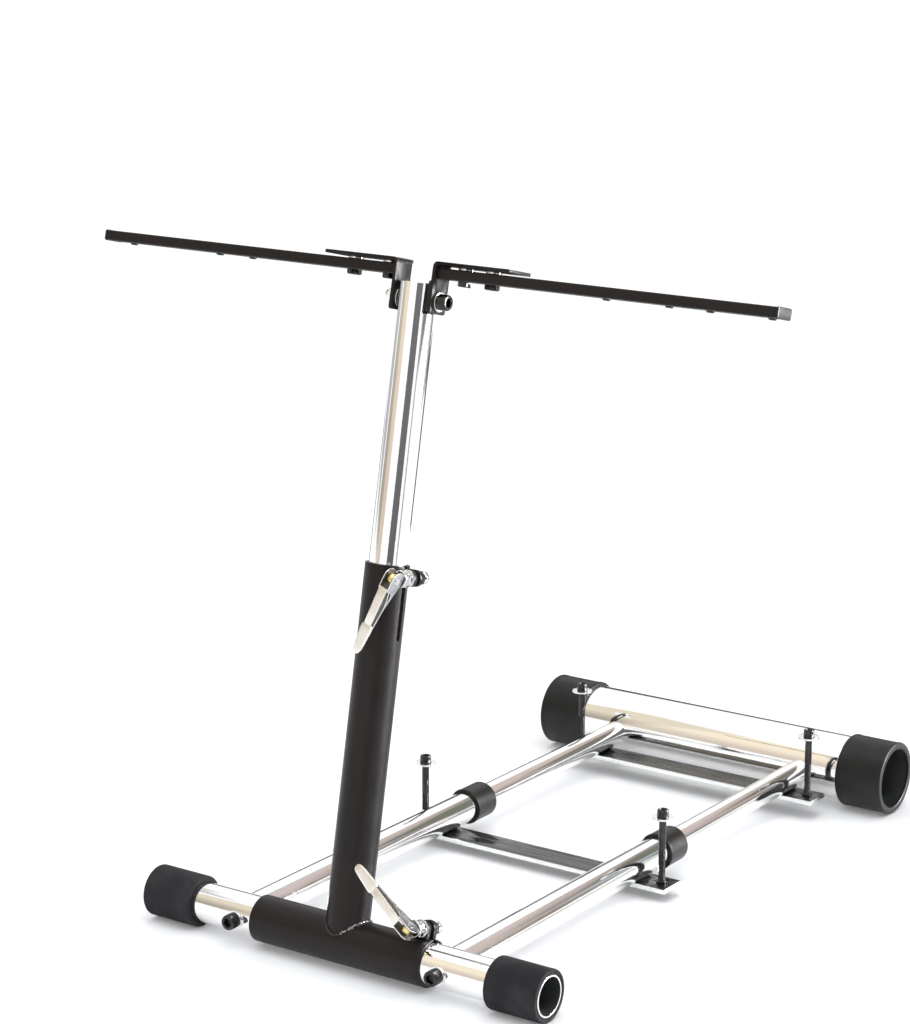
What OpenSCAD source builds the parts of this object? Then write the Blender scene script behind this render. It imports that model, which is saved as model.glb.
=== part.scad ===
// Folding stand for a desktop flight yoke and rudder pedals.
// Origin: on the floor, midway between the front and rear ends, on the column's plane.
// +X is the user's right, +Y runs from the user towards the pedals, +Z is up.

/* [Front crossbar] */
// Outer diameter of the front crossbar tube
crossbar_d = 42.4; // [38:0.1:46]
// Wall of the front crossbar tube
crossbar_wall = 2; // [1.5:0.1:3.5]
// Length of the front crossbar
crossbar_l = 487; // [440:1:560]
// Outer diameter of the foam grips that the stand rests on
grip_d = 54; // [50:0.5:64]
// Length of a foam grip
grip_l = 60; // [40:1:80]

/* [Base rails] */
// Gap between the sleeve's end and the side tube beside it
rail_clear = 3.5; // [2:0.5:10]
// Outer diameter of the fixed side tubes
rail_d = 35; // [32:0.5:36]
// Wall of the side tubes
rail_wall = 1.5; // [1.5:0.1:2.2]
// Distance along the rail from the front axis to the side tube's rear end
rail_l = 426; // [400:1:470]
// Outer diameter of the sliding inner tubes
inner_d = 28; // [24:0.5:28]
// Wall of the inner tubes
inner_wall = 1.5; // [1.5:0.1:3]
// Distance along the rail from the front axis to the inner tube's front end
inner_start = 290; // [270:1:320]
// Length of the plastic collar at the end of a side tube
collar_l = 38; // [30:1:50]
// Wall of the collar around the side tube
collar_wall = 3; // [2:0.5:5]
// Length of the collar behind the side tube's end
collar_lip = 7; // [4:0.5:12]

/* [Rear crossbar] */
// Distance of the rails' axes below the rear crossbar's axis
rail_rear_drop = 2.5; // [0:0.5:6]
// Distance along the rail from the front axis to the rear crossbar's axis
base_l = 760; // [720:1:820]
// Outer diameter of the rear crossbar tube
rear_d = 77; // [70:0.5:80]
// Wall of the rear crossbar tube
rear_wall = 2; // [1.5:0.5:4]
// Length of the rear crossbar
rear_l = 462; // [420:1:520]
// Wall of the rubber rear feet
foot_wall = 4; // [3:0.5:6]
// Length of a rear foot
foot_l = 58; // [40:1:80]
// Inner diameter of the lip that covers the tube's end
foot_lip_d = 69; // [60:0.5:70]
// Thickness of that lip
foot_lip_t = 2.5; // [2:0.5:5]

/* [Pedal clamps] */
// Thickness of the flat bars under the rails
bar_t = 5; // [4:0.5:8]
// Width of the flat bars
bar_w = 36; // [30:1:50]
// Length of a flat bar outside its bolt's axis
bar_end = 14; // [9:0.5:24]
// Gap between the front bar's rear edge and the collars
bar_front_gap = 18; // [2:0.5:40]
// Gap between the rear bar's rear edge and the rear crossbar
bar_rear_gap = 13.5; // [5:0.5:40]
// Distance from a side tube's outer face to the clamp bolt's axis
bar_bolt_out = 11.5; // [8.5:0.5:13]
// Thread diameter of the clamp bolts
bar_bolt_d = 8; // [6:0.5:8]
// Height of the bolt heads' seat above the rail's axis
bar_bolt_h = 58; // [45:1:70]
// Diameter of the large washers
penny_d = 24; // [18:0.5:28]
// Thickness of every flat washer
washer_t = 2; // [1.5:0.1:2.5]

/* [Crossbar bolts] */
// Thread diameter of the crossbar bolts and of the head's pivot bolt
bolt_d = 10; // [8:0.5:10]
// Diameter of the washers on those bolts
washer_d = 20; // [17:0.5:21]
// Length of the threaded plug in each side tube
plug_l = 26; // [20:1:40]

/* [Column] */
// Backward tilt of the column in degrees
column_tilt = 10; // [4:0.5:14]
// Wall of the sleeve that turns on the front crossbar
sleeve_wall = 2.9; // [2:0.1:4]
// Length of that sleeve
sleeve_l = 210; // [180:1:210]
// Outer diameter of the upright tube
column_d = 45; // [42:0.5:50]
// Distance from the crossbar's axis to the upright tube's rim
column_l = 383; // [340:1:420]
// Length of the clamping slot in the upright tube
column_slot_l = 75; // [50:1:100]
// Length of the clamping slot in the sleeve
sleeve_slot_l = 48; // [40:1:60]
// Width of the clamping slots
slot_w = 5.5; // [3:0.5:7]

/* [Mast] */
// Outer diameter of the chrome mast
mast_d = 38; // [34:0.5:38]
// Wall of the mast
mast_wall = 2; // [1.5:0.1:3]
// Distance from the crossbar's axis to the mast's top
mast_top = 663; // [640:1:700]
// Length of the mast
mast_l = 540; // [500:1:560]
// Distance from the mast's top down to the head's pivot
pivot_drop = 17; // [14:0.5:24]

/* [Clamps] */
// Thread diameter of the clamp bolts
clamp_d = 8; // [6:0.5:8]
// Distance from a tube's face to the clamp bolt's axis
clamp_out = 8.5; // [8:0.5:12]
// Thickness of a clamp ear
ear_t = 5.5; // [4:0.5:6]
// Width of a clamp ear
ear_w = 17; // [15:0.5:20]
// Distance from the upright tube's end to the upper clamp bolt's axis
clamp_end = 10.5; // [10:0.5:14]
// Distance from the sleeve's end to the lower clamp bolt's axis
tilt_clamp_end = 13.5; // [10:0.5:16]
// Length of a quick-release lever from its pin to its tip
lever_l = 82; // [70:1:90]
// Width of a lever's thumb pad
lever_pad_w = 13; // [12:0.5:20]
// Radius of a lever's cam
cam_r = 10; // [7.5:0.5:10]
// Angle of the upper lever from the column's axis
lever_angle = 20.5; // [0:0.5:45]
// Angle of the lower lever from the downward direction
lower_lever_angle = 127; // [90:0.5:135]
// Angle that the lower clamp is turned behind the column's plane
tilt_clamp_turn = 6; // [0:0.5:10]

/* [Head] */
// Backward lean of the head against the mast in degrees
head_lean = 2.5; // [-10:0.5:10]
// Length of each arm
arm_l = 374; // [300:1:400]
// Depth of an arm from front to back
arm_w = 26; // [24:0.5:34]
// Height of an arm
arm_h = 10.5; // [9:0.5:14]
// Wall of an arm
arm_wall = 1.5; // [1:0.1:2]
// Distance from the pivot up to the top of the arms
arm_top = 33; // [32:0.5:40]
// Distance from the pivot back to the front face of the arms
arm_front = -9; // [-12:0.5:-5]
// Thickness of the plastic end caps
cap_t = 3; // [2:0.5:5]
// Thickness of the bracket plates
plate_t = 3.5; // [3:0.5:5]
// Thickness of the washers between the arms and the flanges
riser_t = 2.5; // [1.5:0.5:5]
// Front edge of the brackets from the pivot
plate_front = -13.5; // [-20:0.5:-13]
// Rear edge of a bracket's leg from the pivot
leg_back = 13.5; // [10:0.5:18]
// Rear edge of a bracket's flange from the pivot
flange_back = 28; // [27:0.5:36]
// Distance from the pivot down to a leg's lower end
leg_drop = 12.5; // [12:0.5:18]
// Distance from the middle plane to a flange's outer end
flange_reach = 111; // [100:1:120]
// Gap between the mast and the right bracket, filled by a spacer
spacer_right = 3.5; // [2:0.5:8]
// Gap between the mast and the left bracket, filled by a washer
spacer_left = 1.5; // [1:0.5:6]

/* [Hidden] */
$fn = 96;
// Radial gap where one tube turns or slides on another
run_gap = 0.08;
// Radial gap between pieces that are pushed together
fit_gap = 0.04;
// Overlap that keeps a cut clear of the face it starts from
cut = 1;

crossbar_z = grip_d / 2;
rear_r = rear_d / 2;
foot_r = rear_r + foot_wall;
rail_rise = asin((foot_r - rail_rear_drop - crossbar_z) / base_l);
rear_axis_h = rail_rear_drop / cos(rail_rise);
rail_r = rail_d / 2;
inner_r = inner_d / 2;
crossbar_r = crossbar_d / 2;
sleeve_bore_r = crossbar_r + run_gap;
sleeve_r = sleeve_bore_r + sleeve_wall;
column_r = column_d / 2;
mast_r = mast_d / 2;
mast_bore_r = mast_r + run_gap;
pivot_d = mast_top - pivot_drop;
bolt_head_d = 1.6 * bolt_d;
bar_head_d = 1.6 * bar_bolt_d;
socket_share = 0.55;
bar_z = -rail_r - bar_t;
rail_x = sleeve_l / 2 + rail_clear + rail_r;
bar_bolt_x = rail_x + rail_r + bar_bolt_out;
bar_l = 2 * (bar_bolt_x + bar_end);
collar_front = rail_l + collar_lip - collar_l;
bar_front_s = collar_front - bar_front_gap - bar_w / 2;
bar_rear_s = base_l - rear_r - bar_rear_gap - bar_w / 2;
rear_bar_z = -inner_r - bar_t;

// Front and rear ends that the origin lies between
front_end = (crossbar_r + washer_t + bolt_d) * cos(rail_rise) + bolt_head_d / 2 * sin(rail_rise);
rear_end = base_l * cos(rail_rise) - rear_axis_h * sin(rail_rise) + foot_r;
middle_y = (rear_end - front_end) / 2;

// Clamp hardware, stacked along the clamp bolt from the middle of the slot
ear_face = slot_w / 2 + ear_t;
barrel_t = 10;
barrel_d = 18;
cam_seat_t = 5;
pin_y = -(ear_face + barrel_t + cam_seat_t + cam_r);
nut_t = 6.5;
nut_af = 13;
end_nut_t = 6;
pin_d = 5;
eye_d = 11;
eye_w = clamp_d;
// Gap that keeps two bodies' curved faces apart
part_gap = 0.4;
fork_gap = eye_w + 2 * part_gap;
tine_t = 1.6;
tine_h = 10;
pad_l = 28;
pad_t = 4.5;
ear_round = ear_w / 2;

// Heads and screws on the arms
arm_bolt_d = 8;
arm_bolt_af = 13;
arm_bolt_head = 5.3;
arm_bolt_x = [-83, -40, 51, 83];
riser_d = 16;
rail_screw_d = 4;
rail_screw_head = 8;
// Distances of the small screws from the outer end of the left and the right arm
rail_screws_left = [28, 144, 187];
rail_screws_right = [9, 74, 118, 187];
yoke_hole_d = 5.5;
yoke_hole_x = [63, 87];
yoke_hole_y = (arm_front + arm_w + flange_back) / 2;
arm_mid_y = arm_front + arm_w / 2;
arm_low = arm_top - arm_h;
flange_low = arm_top + riser_t;
flange_top = flange_low + plate_t;
bend_r = plate_t + 1.5;
right_leg_x = mast_r + spacer_right;
left_leg_x = mast_r + spacer_left;
arm_start = right_leg_x + plate_t;
arm_end = arm_start + arm_l;
rail_screw_x = concat([for (d = rail_screws_left) d - arm_end], [for (d = rail_screws_right) arm_end - d]);

// Frame of the front crossbar: origin on its axis
module crossbar_frame() {
    translate([0, -middle_y, crossbar_z]) children();
}

// Frame of the rails: +Y runs along the tubes
module rail_frame() {
    crossbar_frame() rotate([rail_rise, 0, 0]) children();
}

// Frame of the column: +Z runs up the mast
module column_frame() {
    crossbar_frame() rotate([-column_tilt, 0, 0]) children();
}

// Frame of the head: origin on the pivot's axis
module head_frame() {
    column_frame() translate([0, 0, pivot_d]) rotate([-head_lean, 0, 0]) children();
}

// Solid rod along X, from x to x + l
module rod_x(r, x, l) {
    translate([x, 0, 0]) rotate([0, 90, 0]) cylinder(h = l, r = r);
}

// Solid rod along Y, from y to y + l
module rod_y(r, y, l) {
    translate([0, y, 0]) rotate([-90, 0, 0]) cylinder(h = l, r = r);
}

// Hexagonal prism along Z across flats af
module hex(af, h) {
    cylinder(h = h, d = af / cos(30), $fn = 6);
}

// Tube along Y
module tube_y(r, wall, y, l) {
    difference() {
        rod_y(r, y, l);
        rod_y(r - wall, y - cut, l + 2 * cut);
    }
}

// Socket-head cap screw along Z: the head stands on z = 0, the shank hangs below
module cap_screw(d, l, head_d) {
    difference() {
        union() {
            cylinder(h = d, d = head_d);
            translate([0, 0, -l]) cylinder(h = l + cut, d = d);
        }
        translate([0, 0, d * (1 - socket_share)]) hex(0.8 * d, d);
    }
}

// Flat washer that stands on z = 0
module washer(od, id, t) {
    difference() {
        cylinder(h = t, d = od);
        translate([0, 0, -cut]) cylinder(h = t + 2 * cut, d = id);
    }
}

// Rectangle with rounded corners of radius r
module rounded_rectangle(x0, x1, y0, y1, r) {
    translate([x0 + r, y0]) square([x1 - x0 - 2 * r, y1 - y0]);
    translate([x0, y0 + r]) square([x1 - x0, y1 - y0 - 2 * r]);
    for (x = [x0 + r, x1 - r], y = [y0 + r, y1 - r]) translate([x, y]) circle(r = r);
}

// Rounded plate in the YZ plane, from x to x + t
module rounded_plate(x, t, y0, y1, z0, z1, r) {
    translate([x, 0, 0]) rotate([90, 0, 90]) linear_extrude(height = t)
        rounded_rectangle(y0, y1, z0, z1, r);
}

// Front crossbar and what is bolted to it

module front_crossbar() {
    color("gainsboro") crossbar_frame() difference() {
        rod_x(crossbar_r, -crossbar_l / 2, crossbar_l);
        rod_x(crossbar_r - crossbar_wall, -crossbar_l / 2 - cut, crossbar_l + 2 * cut);
        for (side = [-1, 1]) rotate([rail_rise, 0, 0]) translate([side * rail_x, 0, 0])
            rod_y(bolt_d / 2 + fit_gap, -crossbar_d, 2 * crossbar_d);
    }
}

module front_grip(side) {
    color("#2b2b2b") crossbar_frame() mirror([side < 0 ? 1 : 0, 0, 0]) difference() {
        rod_x(grip_d / 2, crossbar_l / 2 - grip_l, grip_l);
        rod_x(crossbar_r + fit_gap, crossbar_l / 2 - grip_l - cut, grip_l + 2 * cut);
    }
}

module crossbar_bolt(side) {
    color("#262626") rail_frame() translate([side * rail_x, -crossbar_r - washer_t, 0])
        rotate([90, 0, 0]) cap_screw(bolt_d, crossbar_d + washer_t + plug_l / 2, bolt_head_d);
}

module crossbar_washers() {
    color("silver") rail_frame() for (side = [-1, 1]) translate([side * rail_x, -crossbar_r, 0])
        rotate([90, 0, 0]) washer(washer_d, bolt_d + 2 * fit_gap, washer_t);
}

// Side tube with its front end coped to the crossbar and a threaded plug behind the cope
module side_tube(side) {
    color("gainsboro") rail_frame() translate([side * rail_x, 0, 0]) difference() {
        rod_y(rail_r, 0, rail_l);
        rod_y(rail_r - rail_wall, crossbar_r + plug_l, rail_l);
        rod_x(crossbar_r + fit_gap, -rail_d, 2 * rail_d);
        rod_y(bolt_d / 2 + fit_gap, 0, crossbar_r + plug_l + cut);
    }
}

module tube_collar(side) {
    color("#1f1f1f") rail_frame() translate([side * rail_x, 0, 0]) difference() {
        rod_y(rail_r + collar_wall, collar_front, collar_l);
        rod_y(rail_r + fit_gap, collar_front - cut, collar_l - collar_lip + cut);
        rod_y(inner_r + run_gap, collar_front, collar_l + cut);
    }
}

// Flat bar across the two rails, its top face against the tubes
module pedal_bar(s, z) {
    color("#303030") rail_frame() translate([-bar_l / 2, s - bar_w / 2, z]) difference() {
        cube([bar_l, bar_w, bar_t]);
        for (side = [-1, 1]) translate([bar_l / 2 + side * bar_bolt_x, bar_w / 2, -cut])
            cylinder(h = bar_t + 2 * cut, d = bar_bolt_d + 2 * fit_gap);
    }
}

// Long clamp screw with a thin nut on the bar
module pedal_bolt(side, s, z) {
    nut_h = 3;
    color("#262626") rail_frame() translate([side * bar_bolt_x, s, 0]) {
        translate([0, 0, bar_bolt_h]) cap_screw(bar_bolt_d, bar_bolt_h - z, bar_head_d);
        translate([0, 0, z + bar_t]) cylinder(h = nut_h, d = 1.4 * bar_bolt_d);
    }
}

module pedal_washers(s) {
    color("silver") rail_frame() for (side = [-1, 1]) translate([side * bar_bolt_x, s, bar_bolt_h - washer_t])
        washer(penny_d, bar_bolt_d + 2 * fit_gap, washer_t);
}

// Rear half of the base

module inner_tube(side) {
    color("gainsboro") rail_frame() translate([side * rail_x, 0, 0]) difference() {
        tube_y(inner_r, inner_wall, inner_start, base_l - inner_start);
        translate([0, base_l, rear_axis_h]) rod_x(rear_r + fit_gap, -inner_d, 2 * inner_d);
    }
}

module rear_crossbar() {
    color("gainsboro") rail_frame() translate([0, base_l, rear_axis_h]) difference() {
        rod_x(rear_r, -rear_l / 2, rear_l);
        rod_x(rear_r - rear_wall, -rear_l / 2 - cut, rear_l + 2 * cut);
    }
}

module rear_foot(side) {
    end = rear_l / 2 + foot_lip_t;
    color("#1a1a1a") rail_frame() translate([0, base_l, rear_axis_h]) mirror([side < 0 ? 1 : 0, 0, 0])
        difference() {
            rod_x(foot_r, end - foot_l, foot_l);
            rod_x(rear_r + fit_gap, end - foot_l - cut, foot_l - foot_lip_t + cut);
            rod_x(foot_lip_d / 2, 0, end + cut);
        }
}

// Column

// Outline of a pair of clamp ears on a tube of radius r, in the XZ plane of the clamp
module ears(r) {
    difference() {
        for (side = [-1, 1]) mirror([0, side < 0 ? 1 : 0, 0]) translate([0, slot_w / 2, 0])
            rotate([-90, 0, 0]) linear_extrude(height = ear_t) {
                translate([r + clamp_out, 0]) circle(r = ear_round);
                translate([r - 1, -ear_round]) square([clamp_out + 1, ear_w]);
            }
        translate([r + clamp_out, 0, 0]) rod_y(clamp_d / 2 + fit_gap, -ear_face - cut, 2 * (ear_face + cut));
    }
}

// Upper clamp: ears on the +X face of the upright tube
module height_clamp() {
    column_frame() translate([0, 0, column_l - clamp_end]) children();
}

// Lower clamp: ears on the upper face of the sleeve near its +X end
module tilt_clamp() {
    column_frame() rotate([-tilt_clamp_turn, 0, 0]) translate([sleeve_l / 2 - tilt_clamp_end, 0, 0])
        rotate([0, -90, 0]) children();
}

// Slot with a round end, through one wall of the upright tube
module column_slot() {
    low = column_l - column_slot_l + slot_w / 2;
    translate([0, -slot_w / 2, low]) cube([column_d, slot_w, column_slot_l]);
    translate([0, 0, low]) rod_x(slot_w / 2, 0, column_d);
}

// Slot with a round end, through the upper wall of the sleeve
module sleeve_slot() {
    low = sleeve_l / 2 - sleeve_slot_l + slot_w / 2;
    rotate([-tilt_clamp_turn, 0, 0]) {
        translate([low, -slot_w / 2, 0]) cube([sleeve_slot_l, slot_w, 2 * sleeve_r]);
        translate([low, 0, 0]) cylinder(h = 2 * sleeve_r, d = slot_w);
    }
}

module column_tee() {
    color("#35302e") {
        column_frame() difference() {
            union() {
                rod_x(sleeve_r, -sleeve_l / 2, sleeve_l);
                cylinder(h = column_l, r = column_r);
            }
            rod_x(sleeve_bore_r, -sleeve_l / 2 - cut, sleeve_l + 2 * cut);
            translate([0, 0, sleeve_r]) cylinder(h = column_l, r = mast_bore_r);
            column_slot();
            sleeve_slot();
        }
        height_clamp() difference() {
            ears(column_r);
            cylinder(h = column_l, r = mast_bore_r, center = true);
        }
        tilt_clamp() difference() {
            ears(sleeve_r);
            cylinder(h = sleeve_l, r = sleeve_bore_r, center = true);
        }
    }
}

// Clamp bolt: threaded rod with an eye for the lever's pin, and the barrel under the cam
module clamp_bolt(r, angle) {
    color("silver") translate([r + clamp_out, 0, 0]) difference() {
        union() {
            rod_y(clamp_d / 2, pin_y, -pin_y + ear_face + nut_t + end_nut_t);
            translate([0, pin_y, 0]) rotate([0, angle, 0]) rod_x(eye_d / 2, -eye_w / 2, eye_w);
            rod_y(barrel_d / 2, -ear_face - barrel_t, barrel_t);
        }
        translate([0, pin_y, 0]) rotate([0, angle, 0]) rod_x(pin_d / 2 + run_gap, -eye_w, 2 * eye_w);
    }
}

module clamp_nuts(r) {
    stack = [[0, nut_t], [nut_t, end_nut_t]];
    for (nut = stack) color(nut[0] < nut_t ? "#262626" : "silver")
        translate([r + clamp_out, ear_face + nut[0], 0]) rotate([-90, 0, 0]) difference() {
            hex(nut_af, nut[1]);
            translate([0, 0, -cut]) cylinder(h = nut[1] + 2 * cut, d = clamp_d + 2 * fit_gap);
        }
}

module cam_washer(r) {
    color("goldenrod") translate([r + clamp_out, 0, 0]) difference() {
        rod_y(barrel_d / 2, -ear_face - barrel_t - cam_seat_t, cam_seat_t);
        rod_y(clamp_d / 2 + fit_gap, -ear_face - barrel_t - cam_seat_t - cut, cam_seat_t + 2 * cut);
    }
}

// Quick-release lever: pin along X, handle along -Z, clamp on the +Y side
module lever(r, angle) {
    outer = fork_gap / 2 + tine_t;
    color("gainsboro") translate([r + clamp_out, pin_y, 0]) rotate([0, angle, 0]) {
        difference() {
            union() {
                rod_x(cam_r - part_gap, -outer, 2 * outer);
                translate([-outer, -tine_h, -lever_l + pad_l]) cube([2 * outer, tine_h, lever_l - pad_l]);
                translate([0, -tine_h, -lever_l + lever_pad_w / 2]) rotate([-90, 0, 0])
                    cylinder(h = pad_t, d = lever_pad_w);
                translate([-lever_pad_w / 2, -tine_h, -lever_l + lever_pad_w / 2])
                    cube([lever_pad_w, pad_t, pad_l]);
            }
            translate([-fork_gap / 2, -3 * tine_h, -lever_l + pad_l + lever_pad_w / 2])
                cube([fork_gap, 6 * tine_h, lever_l + tine_h]);
        }
        rod_x(pin_d / 2, -outer - 1, 2 * outer + 2);
    }
}

// Mast
module mast() {
    color("gainsboro") column_frame() difference() {
        translate([0, 0, mast_top - mast_l]) cylinder(h = mast_l, r = mast_r);
        translate([0, 0, mast_top - mast_l - cut]) cylinder(h = mast_l + 2 * cut, r = mast_r - mast_wall);
        translate([0, 0, pivot_d]) rod_x(bolt_d / 2 + run_gap, -mast_d, 2 * mast_d);
    }
}

// Head

// Section of a bent plate in the XZ plane: a leg up from z = 0 and a flange towards +X
module bent_section(leg_x) {
    translate([leg_x, 0]) square([plate_t, flange_top - bend_r]);
    translate([leg_x + bend_r, flange_low]) square([bend_r, plate_t]);
    translate([leg_x + bend_r, flange_top - bend_r]) intersection() {
        difference() {
            circle(r = bend_r);
            circle(r = bend_r - plate_t);
        }
        translate([-bend_r, 0]) square(bend_r);
    }
}

// Bracket for the +X side: a leg beside the mast and a flange over the arm
module bracket(side, leg_x) {
    holes = [for (x = arm_bolt_x) if (x * side > 0) x * side];
    color("#2b2624") head_frame() mirror([side < 0 ? 1 : 0, 0, 0]) difference() {
        union() {
            rounded_plate(leg_x, plate_t, plate_front, leg_back, -leg_drop, arm_top - bend_r, 3);
            translate([0, leg_back, 0]) rotate([90, 0, 0]) linear_extrude(height = leg_back - plate_front)
                bent_section(leg_x);
            translate([0, 0, flange_low]) linear_extrude(height = plate_t)
                rounded_rectangle(leg_x + bend_r, flange_reach, plate_front, flange_back, 3);
        }
        rod_x(bolt_d / 2 + fit_gap, 0, mast_d);
        for (x = holes) translate([x, arm_mid_y, 0]) cylinder(h = 2 * flange_top, d = arm_bolt_d + 2 * fit_gap);
        for (x = yoke_hole_x) translate([x, yoke_hole_y, 0]) cylinder(h = 2 * flange_top, d = yoke_hole_d);
    }
}

module pivot_bolt() {
    start = right_leg_x + plate_t + washer_t;
    reach = start + left_leg_x + plate_t + washer_t + bolt_d;
    color("#262626") head_frame() translate([start, 0, 0]) rotate([0, 90, 0])
        cap_screw(bolt_d, reach, bolt_head_d);
}

module pivot_nut() {
    color("silver") head_frame() translate([-left_leg_x - plate_t - washer_t, 0, 0]) rotate([0, -90, 0])
        difference() {
            hex(1.6 * bolt_d, 0.8 * bolt_d);
            translate([0, 0, -cut]) cylinder(h = bolt_d + 2 * cut, d = bolt_d + 2 * fit_gap);
        }
}

module pivot_washers() {
    color("silver") head_frame() {
        translate([right_leg_x + plate_t, 0, 0]) rotate([0, 90, 0]) washer(washer_d, bolt_d + 2 * fit_gap, washer_t);
        translate([-left_leg_x - plate_t, 0, 0]) rotate([0, -90, 0]) washer(washer_d, bolt_d + 2 * fit_gap, washer_t);
        translate([-mast_r - run_gap, 0, 0]) rotate([0, -90, 0])
            washer(washer_d, bolt_d + 2 * fit_gap, spacer_left - run_gap);
    }
}

// Spacer block between the mast and the right bracket
module mast_spacer() {
    color("#202020") head_frame() difference() {
        rounded_plate(mast_r + run_gap, spacer_right - run_gap, -12, 12, -10, 20, 3);
        rod_x(bolt_d / 2 + fit_gap, 0, mast_d);
    }
}

// Arm: rectangular tube along X
module arm(side) {
    holes = [for (x = arm_bolt_x) if (x * side > 0) [x * side, arm_bolt_d]];
    screws = [for (x = rail_screw_x) if (x * side > 0) [x * side, rail_screw_d]];
    color("#2b2624") head_frame() mirror([side < 0 ? 1 : 0, 0, 0]) difference() {
        translate([arm_start, arm_front, arm_low]) cube([arm_l, arm_w, arm_h]);
        translate([arm_start - cut, arm_front + arm_wall, arm_low + arm_wall])
            cube([arm_l + 2 * cut, arm_w - 2 * arm_wall, arm_h - 2 * arm_wall]);
        for (hole = concat(holes, screws)) translate([hole[0], arm_mid_y, 0])
            cylinder(h = 2 * arm_top, d = hole[1] + 2 * fit_gap);
    }
}

module arm_cap(side) {
    plug = 6;
    inset = arm_wall + fit_gap;
    color("#141414") head_frame() mirror([side < 0 ? 1 : 0, 0, 0]) translate([arm_start + arm_l, 0, 0]) {
        rounded_plate(0, cap_t, arm_front - 0.5, arm_front + arm_w + 0.5, arm_low - 0.5, arm_top + 0.5, 2);
        translate([-plug, arm_front + inset, arm_low + inset])
            cube([plug + cut, arm_w - 2 * inset, arm_h - 2 * inset]);
    }
}

// Hexagon bolts up through the arms into the flanges
module arm_bolts() {
    color("#262626") head_frame() for (x = arm_bolt_x) translate([x, arm_mid_y, arm_low]) {
        translate([0, 0, -arm_bolt_head]) hex(arm_bolt_af, arm_bolt_head);
        cylinder(h = flange_top - arm_low, d = arm_bolt_d);
    }
}

// Washers that keep the flanges off the arms
module arm_risers() {
    color("silver") head_frame() for (x = arm_bolt_x) translate([x, arm_mid_y, arm_top])
        washer(riser_d, arm_bolt_d + 2 * fit_gap, riser_t);
}

// Small mounting screws through the arms
module arm_screws() {
    head_h = 2;
    color("#262626") head_frame() for (x = rail_screw_x) translate([x, arm_mid_y, arm_low]) {
        translate([0, 0, -head_h]) cylinder(h = head_h, d = rail_screw_head);
        cylinder(h = arm_h, d = rail_screw_d);
    }
}

front_crossbar();
front_grip(-1);  // front_grip_left
front_grip(1);  // front_grip_right
crossbar_bolt(-1);  // crossbar_bolt_left
crossbar_bolt(1);  // crossbar_bolt_right
crossbar_washers();
side_tube(-1);  // side_tube_left
side_tube(1);  // side_tube_right
tube_collar(-1);  // tube_collar_left
tube_collar(1);  // tube_collar_right
pedal_bar(bar_front_s, bar_z);  // pedal_bar_front
pedal_bolt(-1, bar_front_s, bar_z);  // pedal_bolt_front_left
pedal_bolt(1, bar_front_s, bar_z);  // pedal_bolt_front_right
pedal_washers(bar_front_s);  // pedal_washers_front
inner_tube(-1);  // inner_tube_left
inner_tube(1);  // inner_tube_right
rear_crossbar();
rear_foot(-1);  // rear_foot_left
rear_foot(1);  // rear_foot_right
pedal_bar(bar_rear_s, rear_bar_z);  // pedal_bar_rear
pedal_bolt(-1, bar_rear_s, rear_bar_z);  // pedal_bolt_rear_left
pedal_bolt(1, bar_rear_s, rear_bar_z);  // pedal_bolt_rear_right
pedal_washers(bar_rear_s);  // pedal_washers_rear
column_tee();
height_clamp() clamp_bolt(column_r, lever_angle);  // height_clamp_bolt
height_clamp() clamp_nuts(column_r);  // height_clamp_nuts
height_clamp() cam_washer(column_r);  // height_cam_washer
tilt_clamp() clamp_bolt(sleeve_r, lower_lever_angle + 90);  // tilt_clamp_bolt
tilt_clamp() clamp_nuts(sleeve_r);  // tilt_clamp_nuts
tilt_clamp() cam_washer(sleeve_r);  // tilt_cam_washer
height_clamp() lever(column_r, lever_angle);  // height_lever
tilt_clamp() lever(sleeve_r, lower_lever_angle + 90);  // tilt_lever
mast();
bracket(-1, left_leg_x);  // bracket_left
bracket(1, right_leg_x);  // bracket_right
pivot_bolt();
pivot_nut();
pivot_washers();
mast_spacer();
arm(-1);  // arm_left
arm(1);  // arm_right
arm_cap(-1);  // arm_cap_left
arm_cap(1);  // arm_cap_right
arm_bolts();
arm_risers();
arm_screws();
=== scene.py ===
"""Looks of a folding floor stand for a desktop flight yoke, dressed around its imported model."""

import logging
import math
from collections.abc import Callable, Sequence
from dataclasses import dataclass, field
from enum import Enum

import bmesh
import bpy
from mathutils import Matrix, Vector


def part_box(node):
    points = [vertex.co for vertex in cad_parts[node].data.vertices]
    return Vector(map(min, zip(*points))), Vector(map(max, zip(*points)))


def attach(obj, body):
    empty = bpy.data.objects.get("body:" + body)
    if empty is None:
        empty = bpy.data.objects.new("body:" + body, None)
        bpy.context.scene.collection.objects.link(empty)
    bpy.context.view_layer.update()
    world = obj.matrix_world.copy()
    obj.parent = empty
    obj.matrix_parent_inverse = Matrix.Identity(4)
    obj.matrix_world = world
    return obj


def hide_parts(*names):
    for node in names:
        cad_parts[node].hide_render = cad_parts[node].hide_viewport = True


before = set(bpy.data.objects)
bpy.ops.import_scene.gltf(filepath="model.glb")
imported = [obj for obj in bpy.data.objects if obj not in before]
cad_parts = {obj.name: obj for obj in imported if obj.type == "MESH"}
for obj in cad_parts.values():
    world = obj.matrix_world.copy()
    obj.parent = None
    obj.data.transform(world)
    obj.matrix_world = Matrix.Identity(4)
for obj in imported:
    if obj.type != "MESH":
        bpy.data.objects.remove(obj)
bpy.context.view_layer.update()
MM = 0.001
TURN = 2 * math.pi
LEFT = -1
RIGHT = 1
SIDES = (LEFT, RIGHT)
SIDE_NAMES = {LEFT: "left", RIGHT: "right"}
SHARP_ANGLE = math.radians(38)
# Clearances in millimetres: of a bore on a still part, of parts that slide or turn, and of a coped end
FIT_GAP = 0.04
RUN_GAP = 0.08
COPE_GAP = 0.02
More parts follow.
